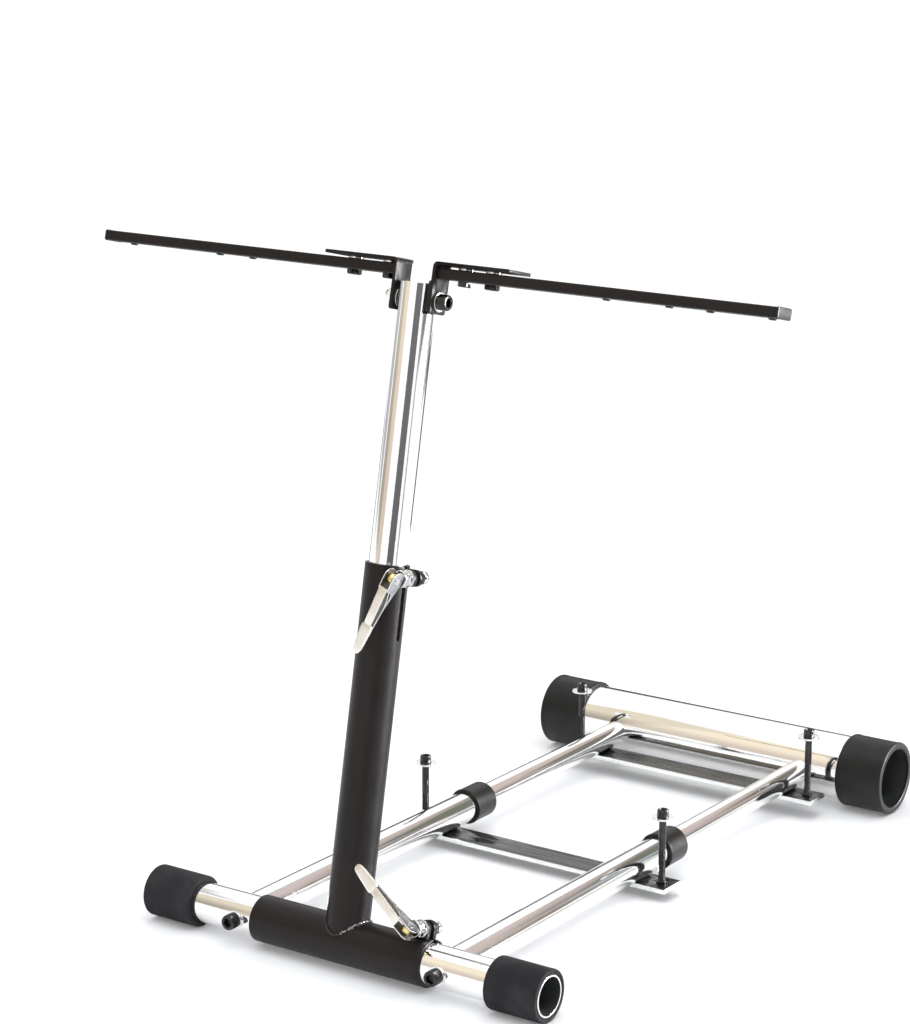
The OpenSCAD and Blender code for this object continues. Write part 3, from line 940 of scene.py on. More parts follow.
def outline_normals(loop: Sequence[Point2]) -> list[Point2]:
    """Gives the outward normals of an anticlockwise outline, longer at its corners.

    Args:
        loop: The outline's points.

    Returns:
        One normal for each point.
    """
    normals = []
    count = len(loop)
    for index in range(count):
        here = Vector(loop[index])
        into = (here - Vector(loop[index - 1])).normalized()
        out = (Vector(loop[(index + 1) % count]) - here).normalized()
        first = Vector((into.y, -into.x))
        second = Vector((out.y, -out.x))
        both = first + second
        scale = 2.0 / max(both.length_squared, 0.6)
        normals.append((both.x * scale, both.y * scale))
    return normals


# The stand's sizes and frames


@dataclass(frozen=True)
class Sizes:
    """Sizes that several sub-assemblies share, in millimetres and degrees."""

    crossbar_r: float = 21.2
    crossbar_z: float = 27.0
    rail_x: float = 126.0
    rail_r: float = 17.5
    inner_r: float = 14.0
    base_l: float = 760.0
    rear_r: float = 38.5
    foot_r: float = 42.5
    rail_drop: float = 2.5
    column_tilt: float = 10.0
    column_r: float = 22.5
    column_l: float = 383.0
    sleeve_r: float = 24.18
    sleeve_l: float = 210.0
    mast_r: float = 19.0
    mast_top: float = 663.0
    pivot_drop: float = 17.0
    head_lean: float = 2.5
    clamp_turn: float = 6.0
    clamp_end: float = 10.5
    tilt_clamp_end: float = 13.5
    clamp_out: float = 8.5
    slot_w: float = 5.5
    ear_t: float = 5.5
    ear_w: float = 17.0
    clamp_r: float = 4.0

    @property
    def rail_rise(self) -> float:
        """Slope of the rails in radians."""
        return math.asin((self.foot_r - self.rail_drop - self.crossbar_z) / self.base_l)

    @property
    def rear_h(self) -> float:
        """Height of the rear crossbar's axis above the rails' axes."""
        return self.rail_drop / math.cos(self.rail_rise)


@dataclass
class Frames:
    """Local frames of the sub-assemblies, in millimetres of the part's frame."""

    sizes: Sizes
    front_y: float

    def crossbar(self) -> Matrix:
        """Origin on the front crossbar's axis."""
        return Matrix.Translation((0, self.front_y, self.sizes.crossbar_z))

    def rail(self) -> Matrix:
        """+Y along the rails."""
        return self.crossbar() @ Matrix.Rotation(self.sizes.rail_rise, 4, "X")

    def rail_at(self, x: float, s: float = 0.0, z: float = 0.0) -> Matrix:
        """Rail frame moved x across, s along the rails and z up."""
        return self.rail() @ Matrix.Translation((x, s, z))

    def side_rail(self, side: int) -> Matrix:
        """+Y along the rail of one side."""
        return self.rail_at(side * self.sizes.rail_x)

    def column(self) -> Matrix:
        """+Z up the mast."""
        return self.crossbar() @ Matrix.Rotation(-math.radians(self.sizes.column_tilt), 4, "X")

    def head(self) -> Matrix:
        """Origin on the head's pivot."""
        lift = Matrix.Translation((0, 0, self.sizes.mast_top - self.sizes.pivot_drop))
        return self.column() @ lift @ Matrix.Rotation(-math.radians(self.sizes.head_lean), 4, "X")

    def height_clamp(self) -> Matrix:
        """Upper clamp: +X out through the ears, -Y towards the lever."""
        return self.column() @ Matrix.Translation((0, 0, self.sizes.column_l - self.sizes.clamp_end))

    def tilt_clamp(self) -> Matrix:
        """Lower clamp, turned so that its ears stand up from the sleeve."""
        turn = Matrix.Rotation(-math.radians(self.sizes.clamp_turn), 4, "X")
        shift = Matrix.Translation((self.sizes.sleeve_l / 2 - self.sizes.tilt_clamp_end, 0, 0))
        return self.column() @ turn @ shift @ Matrix.Rotation(-TURN / 4, 4, "Y")


def coped(radius: float, centre_y: float, centre_z: float) -> Callable[[Vector], Vector]:
    """Gives the warp that fits a tube's end to a crossing tube.

    The tube runs along local Z, which is the rail's +Y, and its local -Y is the rail's +Z.

    Args:
        radius: Radius of the crossing tube.
        centre_y: Place of the crossing tube's axis along this tube.
        centre_z: Height of the crossing tube's axis above this tube's axis.

    Returns:
        A function that moves the points beyond the crossing tube's face back to it.
    """
    def warp(point: Vector) -> Vector:
        """Moves one local point."""
        height = -point.y - centre_z
        reach = math.sqrt(max(radius ** 2 - height ** 2, 0.0)) + COPE_GAP
        if centre_y <= 0:
            return Vector((point.x, point.y, max(point.z, centre_y + reach)))
        return Vector((point.x, point.y, min(point.z, centre_y - reach)))
    return warp


# Sub-assemblies


@dataclass
class Base:
    """Front crossbar with its grips and socket screws, side tubes and collars."""

    sizes: Sizes
    frames: Frames
    crossbar_l: float = 487.0
    crossbar_wall: float = 2.0
    grip_r: float = 27.0
    grip_l: float = 60.0
    rail_l: float = 426.0
    rail_wall: float = 1.5
    collar_l: float = 38.0
    collar_lip: float = 7.0
    collar_wall: float = 3.0
    bolt_d: float = 10.0
    bolt_shank: float = 30.0
    washer_r: float = 10.0
    washer_t: float = 2.0

    def crossbar(self) -> None:
        """Makes the chrome tube across the front."""
        piece = Piece("crossbar_tube")
        half = self.crossbar_l / 2
        place = self.frames.crossbar() @ along_x()
        piece.tube(self.sizes.crossbar_r, self.crossbar_wall, -half, half, place, 128)
        piece.set_down("base", "front_crossbar")

    def grip(self, side: int) -> None:
        """Makes one foam grip.

        Args:
            side: LEFT or RIGHT.
        """
        piece = Piece(f"foam_grip_{SIDE_NAMES[side]}")
        outer, inner = self.grip_r, self.sizes.crossbar_r + FIT_GAP
        low, high = self.crossbar_l / 2 - self.grip_l, self.crossbar_l / 2
        rings = turned([
            (outer, low, 3.2), (outer, high, 3.2), (inner + 2.4, high, 0.8), (inner + 1.8, high - 0.9, 0.4),
            (inner, high - 0.9, 0.5), (inner, low + 0.6, 0.5), (inner + 2.0, low, 0.5),
        ], 6)
        piece.spin(rings, self.frames.crossbar() @ mirrored(side) @ along_x(), FOAM, 96)
        piece.set_down("base", f"front_grip_{SIDE_NAMES[side]}")

    def crossbar_bolt(self, side: int) -> None:
        """Makes the socket screw that holds one side tube.

        Args:
            side: LEFT or RIGHT.
        """
        piece = Piece(f"socket_screw_{SIDE_NAMES[side]}")
        seat = towards_front(-self.sizes.crossbar_r - self.washer_t)
        place = self.frames.side_rail(side) @ seat @ Matrix.Rotation(0.35 * side, 4, "Z")
        piece.spin(socket_head_rings(self.bolt_d, self.bolt_shank), place, BLACK_OXIDE, 120, closed=False)
        piece.set_down("base", f"crossbar_bolt_{SIDE_NAMES[side]}")

    def crossbar_washers(self) -> None:
        """Makes the two bright washers under the socket screws."""
        piece = Piece("crossbar_screw_washers")
        rings = washer_rings(self.washer_r, self.bolt_d / 2 + FIT_GAP, 0.0, self.washer_t)
        for side in SIDES:
            place = self.frames.side_rail(side) @ towards_front(-self.sizes.crossbar_r)
            piece.spin(rings, place, ZINC, 72)
        piece.set_down("base", "crossbar_washers")

    def side_tube(self, side: int) -> None:
        """Makes one fixed side tube, coped to the crossbar.

        Args:
            side: LEFT or RIGHT.
        """
        piece = Piece(f"side_rail_{SIDE_NAMES[side]}")
        place = self.frames.side_rail(side) @ along_y()
        warp = coped(self.sizes.crossbar_r, 0.0, 0.0)
        piece.tube(self.sizes.rail_r, self.rail_wall, 0.0, self.rail_l, place, 112, warp)
        piece.set_down("base", f"side_tube_{SIDE_NAMES[side]}")

    def collar(self, side: int) -> None:
        """Makes the plastic collar at the end of a side tube.

        Args:
            side: LEFT or RIGHT.
        """
        piece = Piece(f"rail_collar_{SIDE_NAMES[side]}")
        outer = self.sizes.rail_r + self.collar_wall
        bore = self.sizes.rail_r + FIT_GAP
        neck = self.sizes.inner_r + RUN_GAP
        low = self.rail_l + self.collar_lip - self.collar_l
        high = self.rail_l + self.collar_lip
        rings = turned([
            (bore, low, 0.3), (outer - 0.7, low, 0.5), (outer, low + 1.2, 0.4), (outer, low + 2.6, 0.3),
            (outer - 0.5, low + 3.1, 0.3), (outer - 0.5, high - 2.2, 1.8), (outer - 3.4, high, 1.4),
            (neck, high, 0.6), (neck, self.rail_l, 0.2), (bore, self.rail_l, 0.2),
        ], 5)
        piece.spin(rings, self.frames.side_rail(side) @ along_y(), PLASTIC, 112)
        piece.set_down("base", f"tube_collar_{SIDE_NAMES[side]}")

    def build(self) -> None:
        """Makes every piece of the sub-assembly."""
        self.crossbar()
        self.crossbar_washers()
        for side in SIDES:
            self.grip(side)
            self.crossbar_bolt(side)
            self.side_tube(side)
            self.collar(side)


@dataclass
class PedalClamp:
    """One flat bar under the rails with its two long screws."""

    sizes: Sizes
    frames: Frames
    place_name: str
    body: str
    middle_s: float
    top_z: float
    bar_t: float = 5.0
    bar_w: float = 36.0
    bar_end: float = 14.0
    bolt_out: float = 11.5
    bolt_d: float = 8.0
    bolt_h: float = 58.0
    thread_l: float = 44.0
    nut_t: float = 3.0
    nut_r: float = 5.6
    penny_r: float = 12.0
    washer_t: float = 2.0
    pitch: float = 1.25

    @property
    def bolt_x(self) -> float:
        """Distance from the middle plane to a screw's axis."""
        return self.sizes.rail_x + self.sizes.rail_r + self.bolt_out

    def bar(self) -> None:
        """Makes the lacquered flat bar with its bright cut edges."""
        piece = Piece(f"flat_bar_{self.place_name}")
        half_l, half_w = self.bolt_x + self.bar_end, self.bar_w / 2
        outline = rectangle((-half_l, -half_w), (half_l, half_w), 0.8)
        holes = [circle(side * self.bolt_x, 0, self.bolt_d / 2 + FIT_GAP) for side in SIDES]
        place = self.frames.rail_at(0, self.middle_s, self.top_z - self.bar_t)
        piece.plate(outline, holes, self.bar_t, place, BAR_LACQUER, 0.3, BAR_EDGE)
        piece.set_down(self.body, f"pedal_bar_{self.place_name}")

    def bolt(self, side: int) -> None:
        """Makes one long screw with its thread and thin nut.

        Args:
            side: LEFT or RIGHT.
        """
        piece = Piece(f"pedal_screw_{self.place_name}_{SIDE_NAMES[side]}")
        place = self.frames.rail_at(side * self.bolt_x, self.middle_s)
        r = self.bolt_d / 2
        low = self.top_z - self.bar_t
        threaded = low + self.thread_l
        head = [Ring(ring.r, ring.z + self.bolt_h, ring.form, ring.detail)
                for ring in socket_head_rings(self.bolt_d, 0.0)][3:]
        rings = [Ring(0, low), Ring(r - 0.8, low)] + thread_rings(r, low + 0.6, threaded, self.pitch)
        rings += [Ring(r, threaded + 0.8)] + head
        twist = Matrix.Rotation(0.5 + 0.3 * side, 4, "Z")
        piece.spin(rings, place @ twist, BLACK_OXIDE, 48, closed=False)
        bore, nut_top = r + 0.3, self.top_z + self.nut_t
        nut = turned([
            (self.nut_r, self.top_z, 0.3), (self.nut_r, nut_top, 0.5), (bore, nut_top, 0.3),
            (bore, self.top_z, 0.2),
        ], 3)
        piece.spin(nut, place, BLACK_OXIDE, 48)
        piece.set_down(self.body, f"pedal_bolt_{self.place_name}_{SIDE_NAMES[side]}")

    def washers(self) -> None:
        """Makes the two large bright washers under the heads."""
        piece = Piece(f"penny_washers_{self.place_name}")
        low = self.bolt_h - self.washer_t
        rings = washer_rings(self.penny_r, self.bolt_d / 2 + FIT_GAP, low, self.washer_t)
        for side in SIDES:
            piece.spin(rings, self.frames.rail_at(side * self.bolt_x, self.middle_s), ZINC, 72)
        piece.set_down(self.body, f"pedal_washers_{self.place_name}")

    def build(self) -> None:
        """Makes every piece of the sub-assembly."""
        self.bar()
        self.washers()
        for side in SIDES:
            self.bolt(side)


@dataclass
class RearBase:
    """Sliding inner tubes, rear crossbar and rubber feet."""

    sizes: Sizes
    frames: Frames
    inner_start: float = 290.0
    inner_wall: float = 1.5
    rear_l: float = 462.0
    rear_wall: float = 2.0
    foot_l: float = 58.0
    lip_r: float = 34.5
    lip_t: float = 2.5

    def inner_tube(self, side: int) -> None:
        """Makes one sliding tube, coped to the rear crossbar.

        Args:
            side: LEFT or RIGHT.
        """
        piece = Piece(f"sliding_rail_{SIDE_NAMES[side]}")
        place = self.frames.side_rail(side) @ along_y()
        warp = coped(self.sizes.rear_r, self.sizes.base_l, self.sizes.rear_h)
        piece.tube(self.sizes.inner_r, self.inner_wall, self.inner_start, self.sizes.base_l, place, 96, warp)
        piece.set_down("rear_base", f"inner_tube_{SIDE_NAMES[side]}")

    def crossbar_frame(self) -> Matrix:
        """Gives the frame of the rear crossbar."""
        return self.frames.rail_at(0, self.sizes.base_l, self.sizes.rear_h)

    def crossbar(self) -> None:
        """Makes the wide chrome tube across the rear."""
        piece = Piece("rear_tube")
        half = self.rear_l / 2
        piece.tube(self.sizes.rear_r, self.rear_wall, -half, half, self.crossbar_frame() @ along_x(), 160)
        piece.set_down("rear_base", "rear_crossbar")

    def foot(self, side: int) -> None:
        """Makes one rubber foot with its lip over the tube's end.

        Args:
            side: LEFT or RIGHT.
        """
        piece = Piece(f"rubber_foot_{SIDE_NAMES[side]}")
        outer, bore, lip = self.sizes.foot_r, self.sizes.rear_r + FIT_GAP, self.lip_r
        end = self.rear_l / 2 + self.lip_t
        low = end - self.foot_l
        shoulder = end - self.lip_t + 0.02
        rings = turned([
            (bore, low, 0.4), (outer - 1.0, low, 0.8), (outer, low + 1.6, 0.8), (outer, low + 4.0, 0.5),
            (outer - 0.4, low + 4.6, 0.4), (outer - 0.4, end - 5.0, 0.5), (outer, end - 4.4, 0.5),
            (outer, end, 2.6), (lip + 1.2, end, 0.8), (lip, end - 0.9, 0.4), (lip, shoulder, 0.2),
            (bore, shoulder, 0.2),
        ], 5)
        piece.spin(rings, self.crossbar_frame() @ mirrored(side) @ along_x(), RUBBER, 144)
        piece.set_down("rear_base", f"rear_foot_{SIDE_NAMES[side]}")

    def build(self) -> None:
        """Makes every piece of the sub-assembly."""
        self.crossbar()
        for side in SIDES:
            self.inner_tube(side)
            self.foot(side)


@dataclass
class Column:
    """Upright tube on its sleeve, with the clamping slots, the ears and the weld."""

    sizes: Sizes
    frames: Frames
    foot_z: float = 9.0
    column_slot_l: float = 75.0
    sleeve_slot_l: float = 48.0
    rim: float = 0.45
    wall_steps: int = 96
    bend_steps: int = 8
    bead_r: float = 1.9
    bead_pitch: float = 3.4
    bead_steps: int = 260
    bead_sides: int = 12
    # Where the weld's painted glint specks start and end, in degrees round the upright tube.
    glint_from: float = 288.0
    glint_to: float = 352.0

    def slotted_row(
        self, r: float, level: float, slot_low: float, start: float, bottom: Callable[[float], float] | None,
    ) -> list[Vector]:
        """Gives a row of points round one wall face of a slotted tube.

        Args:
            r: Radius of the wall's face.
            level: Place of the row along the local Z axis.
            slot_low: Where the slot's round end is.
            start: Angle of the slot's middle.
            bottom: Gives the least Z at an angle, for a coped end.

        Returns:
            The points from one edge of the slot round to the other.
        """
        half = self.sizes.slot_w / 2
        rise = level - slot_low
        width = 0.0 if rise <= 0 else math.sqrt(max(half ** 2 - max(half - rise, 0.0) ** 2, 0.0))
        edge = math.asin(min(width / r, 1.0))
        row = []
        for step in range(self.wall_steps + 1):
            angle = start + edge + (TURN - 2 * edge) * step / self.wall_steps
            z = max(level, bottom(angle)) if bottom else level
            row.append(Vector((r * math.cos(angle), r * math.sin(angle), z)))
        return row

    def slotted_tube(
        self, piece: Piece, outer: float, wall: float, low: float, high: float, slot_l: float, start: float,
        place: Matrix, bottom: Callable[[float], float] | None = None,
    ) -> None:
        """Makes a tube with a slot from its upper end, round at the slot's bottom.

        Args:
            piece: The piece that gets the tube.
            outer: Outer radius.
            wall: Wall thickness.
            low: Lower end along local Z.
            high: Upper end along local Z.
            slot_l: Length of the slot.
            start: Angle of the slot's middle.
            place: Local frame to the part's frame, in millimetres.
            bottom: Gives the least Z at an angle, for a coped lower end.
        """
        rim, half = self.rim, self.sizes.slot_w / 2
        slot_low = high - slot_l
        bends = [slot_low + half * (1 - math.cos(TURN / 4 * i / self.bend_steps))
                 for i in range(self.bend_steps + 1)]
        plain = [low, low + 0.3 * (slot_low - low), slot_low - 8.0]
        levels = plain + bends + [slot_low + half + 4.0, high - 8.0]
        inner = outer - wall
        mouth = [
            (outer, high - rim), (outer - rim * 0.3, high - rim * 0.3), (outer - rim, high),
            (inner + rim, high), (inner + rim * 0.3, high - rim * 0.3), (inner, high - rim),
        ]
        section = [(outer, z) for z in levels] + mouth + [(inner, z) for z in reversed(levels)]
        rows = [[place @ point for point in self.slotted_row(r, z, slot_low, start, bottom)]
                for r, z in section]
        piece.grid(rows, POWDER_COAT, close_rows=True, close_points=False)
        count = len(levels)
        outside, top, inside = rows[:count], rows[count:-count], rows[-count:][::-1]
        for edge in (0, -1):
            sides = [[one[edge], two[edge]] for one, two in zip(outside, inside)]
            piece.grid(sides[len(plain):], POWDER_COAT, close_points=False)
            corners = [outside[-1][edge]] + [row[edge] for row in top] + [inside[-1][edge]]
            piece.mesh.faces.new([piece.mesh.verts.new(point * MM) for point in corners])

    def upright(self, piece: Piece) -> None:
        """Adds the upright tube, coped to the sleeve and sunk a little into its wall."""
        sizes = self.sizes
        wall = sizes.column_r - (sizes.mast_r + RUN_GAP)
        skin = sizes.sleeve_r - 0.3

        def bottom(angle: float) -> float:
            """Gives the height of the sleeve's face under a point of the upright tube."""
            y = sizes.column_r * math.sin(angle)
            return math.sqrt(max(skin ** 2 - y ** 2, 0.0))

        self.slotted_tube(
            piece, sizes.column_r, wall, self.foot_z, sizes.column_l, self.column_slot_l, 0.0,
            self.frames.column(), bottom,
        )

    def sleeve(self, piece: Piece) -> None:
        """Adds the sleeve that turns on the front crossbar."""
        sizes = self.sizes
        wall = sizes.sleeve_r - (sizes.crossbar_r + RUN_GAP)
        turn = Matrix.Rotation(-math.radians(sizes.clamp_turn), 4, "X")
        place = self.frames.column() @ turn @ along_x()
        half = sizes.sleeve_l / 2
        self.slotted_tube(piece, sizes.sleeve_r, wall, -half, half, self.sleeve_slot_l, math.pi, place)

    def ears(self, piece: Piece, place: Matrix, tube_r: float) -> None:
        """Adds a pair of clamp ears.

        Args:
            piece: The piece that gets the ears.
            place: The clamp's frame.
            tube_r: Radius of the tube that carries the ears.
        """
        sizes = self.sizes
        root = tube_r - 0.7
        tip = tube_r + sizes.clamp_out
        end = sizes.ear_w / 2
        outline = [(root, end), (root, -end)] + circle(tip, 0, end, -TURN / 4, TURN / 2, 20)
        hole = circle(tip, 0, sizes.clamp_r + FIT_GAP)
        for high in (sizes.slot_w / 2 + sizes.ear_t, -sizes.slot_w / 2):
            piece.plate(outline, [hole], sizes.ear_t, place @ towards_front(high), POWDER_COAT, 0.5)

    def tee(self) -> None:
        """Makes the welded tee of upright, sleeve and ears."""
        piece = Piece("column")
        self.upright(piece)
        self.sleeve(piece)
        self.ears(piece, self.frames.height_clamp(), self.sizes.column_r)
        self.ears(piece, self.frames.tilt_clamp(), self.sizes.sleeve_r)
        piece.set_down("column", "column_tee")

    def weld(self) -> None:
        """Makes the rippled weld bead round the foot of the upright tube."""
        sizes = self.sizes
        piece = Piece("weld_bead")
        place = self.frames.column()
        path_r = sizes.column_r + 0.5
        steps, around = self.bead_steps, self.bead_sides
        centres = []
        for step in range(steps):
            angle = TURN * step / steps
            y = path_r * math.sin(angle)
            z = math.sqrt(max((sizes.sleeve_r + 0.5) ** 2 - y ** 2, 0.0))
            centres.append(Vector((path_r * math.cos(angle), y, z)))
        length = sum((centres[i] - centres[i - 1]).length for i in range(steps))
        scales = round(length / self.bead_pitch)
        rows = []
        for step, centre in enumerate(centres):
            ahead = (centres[(step + 1) % steps] - centres[step - 1]).normalized()
            away = Vector((centre.x, centre.y, 0)).normalized()
            away = (away - ahead * away.dot(ahead)).normalized()
            up = ahead.cross(away)
            ripple = 0.5 + 0.5 * math.cos(TURN * scales * step / steps)
            r = self.bead_r * (0.84 + 0.16 * ripple + 0.06 * math.sin(step * 0.37))
            row = []
            for k in range(around):
                turn = TURN * k / around
                row.append(place @ (centre + away * r * math.cos(turn) + up * r * math.sin(turn)))
            rows.append(row)

        def bead_finish(row: int) -> Finish:
            """Gives the painted glint specks to the stretch that faces front right."""
            angle = 360.0 * row / steps
            return WELD_PAINTED_GLINTS if self.glint_from < angle < self.glint_to else WELD_COAT

        piece.grid(rows, WELD_COAT, close_rows=True, inside=bead_finish)
        piece.set_down("column")

    def build(self) -> None:
        """Makes every piece of the sub-assembly."""
        self.tee()
        self.weld()


@dataclass
class Clamp:
    """One quick-release clamp: threaded rod, barrel, cam seat, nuts and lever."""

    sizes: Sizes
    place: Matrix
    name: str
    lever_body: str
    tube_r: float
    lever_angle: float
    barrel_t: float = 10.0
    barrel_r: float = 9.0
    seat_t: float = 5.0
    cam_r: float = 10.0
    nut_t: float = 6.5
    end_nut_t: float = 6.0
    nut_flats: float = 13.0
    pin_r: float = 2.5
    eye_r: float = 5.5
    eye_w: float = 8.0
    pitch: float = 1.25
    part_gap: float = 0.4
    tine_t: float = 1.6
    web_t: float = 0.6
    depth: float = 10.0
    lever_l: float = 82.0
    pad_w: float = 13.0
    strap_start: float = 8.6
    pad_start: float = 50.0

    @property
    def ear_face(self) -> float:
        """Distance from the slot's middle to an ear's outer face."""
        return self.sizes.slot_w / 2 + self.sizes.ear_t

    @property
    def pin_y(self) -> float:
        """Place of the lever's pin along the rod."""
        return -(self.ear_face + self.barrel_t + self.seat_t + self.cam_r)

    @property
    def half_fork(self) -> float:
        """Half the fork's width over both cheeks."""
        return self.eye_w / 2 + self.part_gap + self.tine_t

    def axis(self) -> Matrix:
        """Gives the frame whose +Y runs along the rod from the slot's middle."""
        return self.place @ Matrix.Translation((self.tube_r + self.sizes.clamp_out, 0, 0))

    def lever_frame(self) -> Matrix:
        """Gives the lever's frame: pin along X, handle along -Z, outer face towards -Y."""
        turn = Matrix.Rotation(math.radians(self.lever_angle), 4, "Y")
        return self.axis() @ Matrix.Translation((0, self.pin_y, 0)) @ turn

    def rod(self) -> None:
        """Makes the threaded rod with the bright flange nut that bears on the ear."""
        piece = Piece(f"{self.name}_rod")
        r = self.sizes.clamp_r
        end = self.ear_face + self.nut_t + self.end_nut_t
        start = self.pin_y + 3.5
        rings = [Ring(0, start), Ring(r - 0.6, start), Ring(r, start + 0.6), Ring(r, -self.ear_face)]
        rings += thread_rings(r, self.ear_face, end - 0.9, self.pitch)
        rings += [Ring(r - 1.0, end), Ring(0, end)]
        piece.spin(rings, self.axis() @ along_y(), STEEL, 48, closed=False)
        low, high = -self.ear_face - self.barrel_t, -self.ear_face
        wide, flats = self.barrel_r, self.barrel_r * 0.87
        barrel = [
            Ring(r, low), Ring(wide - 1.6, low), Ring(wide - 0.9, low + 0.4), Ring(wide - 0.9, low + 1.4),
            Ring(wide - 1.3, low + 1.7), Ring(wide - 3.2, low + 1.8), Ring(wide - 3.2, low + 2.3),
            Ring(flats * 0.9, low + 2.4), Ring(flats * 0.96, low + 2.5, Form.HEXAGON, flats),
            Ring(wide - 0.1, low + 3.3, Form.HEXAGON, flats),
            Ring(wide - 0.1, low + 6.3, Form.HEXAGON, flats),
            Ring(flats * 0.95, low + 7.1, Form.HEXAGON, flats), Ring(wide - 3.2, low + 7.2),
            Ring(wide - 3.2, high - 2.2), Ring(wide - 0.5, high - 2.1), Ring(wide, high - 1.7),
            Ring(wide, high - 0.4), Ring(wide - 0.3, high), Ring(r, high),
        ]
        piece.spin(barrel, self.axis() @ along_y(), STEEL, 72)
        piece.set_down("column", f"{self.name}_bolt")

    def eye(self) -> None:
        """Makes the brass eye at the rod's end, round the lever's pin."""
        piece = Piece(f"{self.name}_brass_eye")
        half = self.eye_w / 2
        outline = tube_rings(self.eye_r, self.eye_r - self.pin_r - RUN_GAP, -half, half, 0.7)
        piece.spin(outline, self.lever_frame() @ along_x(), BRASS, 56)
        piece.set_down("column")

    def nuts(self) -> None:
        """Makes the black nut and the bright end nut."""
        piece = Piece(f"{self.name}_hexagon_nuts")
        low = self.ear_face
        stack = [(self.nut_t, BLACK_OXIDE, 0.26), (self.end_nut_t, ZINC, 0.52)]
        for thick, finish, twist in stack:
            rings = nut_rings(self.nut_flats, self.sizes.clamp_r + FIT_GAP, low, thick)
            piece.spin(rings, self.axis() @ along_y() @ Matrix.Rotation(twist, 4, "Z"), finish, 72)
            low += thick
        piece.set_down("column", f"{self.name}_nuts")

    def cam_seat(self) -> None:
        """Makes the bright domed washer that the cam presses on."""
        piece = Piece(f"{self.name}_cam_seat")
        low = -self.ear_face - self.barrel_t - self.seat_t
        high = low + self.seat_t
        r, bore = self.barrel_r - 0.1, self.sizes.clamp_r + FIT_GAP
        rings = turned([
            (bore, low + 0.6, 0.3), (r - 3.0, low + 0.6, 0.3), (r - 0.6, low + 0.1, 0.5),
            (r, low + 1.4, 0.6), (r, low + 2.6, 0.6), (r - 1.1, low + 3.6, 0.4), (r - 1.1, high, 0.3),
            (bore, high, 0.2),
        ], 3)
        piece.spin(rings, self.axis() @ along_y(), STEEL, 72)
        piece.set_down("column", self.name.replace("clamp", "cam_washer"))

    def cheek_outline(self, notched: bool) -> list[Point2]:
        """Gives the side outline of the lever in its YZ plane.

        Args:
            notched: Whether the outline leaves out the hollow between the strap and the rear rib.

        Returns:
            Points as (y, z), anticlockwise.
        """
        r = self.cam_r - self.part_gap
        front = -self.depth + 0.5
        meet = -self.pad_start - 6.0
        arc = circle(0, 0, r, -0.62, TURN * 0.52, 30)
        notch = [(front, -11.0), (-6.2, -12.0), (-4.4, -20.0), (-3.7, -27.0), (-4.0, -33.5), (-7.6, -51.5),
                 (front, -51.5)]
        middle = notch if notched else []
        rear = [(-7.4, meet - 1.0), (-5.4, -51.5), (-2.2, -33.0), (2.4, -20.0)]
        return [(front, -3.0)] + middle + [(front, meet)] + rear + arc

    def cheek(self, piece: Piece, side: int) -> None:
        """Adds one cheek of the fork: a thin web, set back and painted dark as shade in the recess, and the
        raised disc and ribs on it, whose faces are painted darker as shade.

        Args:
            piece: The lever.
            side: LEFT or RIGHT.
        """
        gap = self.eye_w / 2 + self.part_gap
        peep = rounded([(-4.2, -13.0, 0.6), (-2.2, -25.0, 0.4), (0.2, -19.5, 0.8), (-1.0, -13.4, 1.2)], 3)
        low = gap if side == RIGHT else -gap - self.tine_t
        place = self.lever_frame() @ facing_x(low)
        web_low = self.tine_t - self.web_t if side == LEFT else 0.0
        rib_low = 0.0 if side == LEFT else self.web_t
        # The disc and ribs get faces painted darker as shade, with rims in the lighter face colour.
        piece.plate(self.cheek_outline(True), [peep], self.tine_t - self.web_t,
                    place @ Matrix.Translation((0, 0, rib_low)), LEVER_PAINTED_SIDE_SHADE, 0.25, LEVER_FACE)
        # The web is painted dark as the shade in the recess.
        piece.plate(self.cheek_outline(False), [peep], self.web_t,
                    place @ Matrix.Translation((0, 0, web_low)), LEVER_PAINTED_RECESS_SHADE, 0.1)

    def strap(self, piece: Piece) -> None:
        """Adds the lever's outer strap and its tapering thumb pad as one rounded bar."""
        half = self.half_fork - 1.0
        pad = self.pad_w / 2
        tip = self.lever_l
        face = -self.depth
        start, step_at = self.strap_start, self.pad_start
        stations = [
            (start, half - 0.3, 1.2, face + 0.2), (start + 0.7, half, 1.7, face),
            (20.0, half - 0.1, 1.8, face), (36.0, half - 0.3, 1.9, face),
            (step_at - 1.4, half - 0.5, 2.1, face),
            (step_at, half - 0.6, 1.9, face + 0.35), (step_at + 1.4, pad - 0.5, 2.6, face + 0.1),
            (step_at + 3.4, pad, 3.2, face), (step_at + 9.0, pad - 0.2, 3.5, face),
            (66.0, pad - 0.7, 3.4, face), (72.0, pad - 1.1, 3.0, face), (77.0, pad - 1.7, 2.5, face),
            (tip - 2.4, pad - 2.3, 2.0, face + 0.1),
            (tip - 0.8, pad - 3.3, 1.4, face + 0.3), (tip, pad - 4.6, 0.7, face + 0.6),
        ]
        rows = []
        squareness = 0.34
        count = 44
        place = self.lever_frame()
        for along, wide, thick, front in stations:
            row = []
            for step in range(count):
                angle = TURN * step / count
                c, s = math.cos(angle), math.sin(angle)
                x = wide * math.copysign(abs(c) ** squareness, c)
                y = thick / 2 * math.copysign(abs(s) ** squareness, s)
                row.append(place @ Vector((x, front + thick / 2 + y, -along)))
            rows.append(row)
        piece.capped(rows, LEVER_FACE)

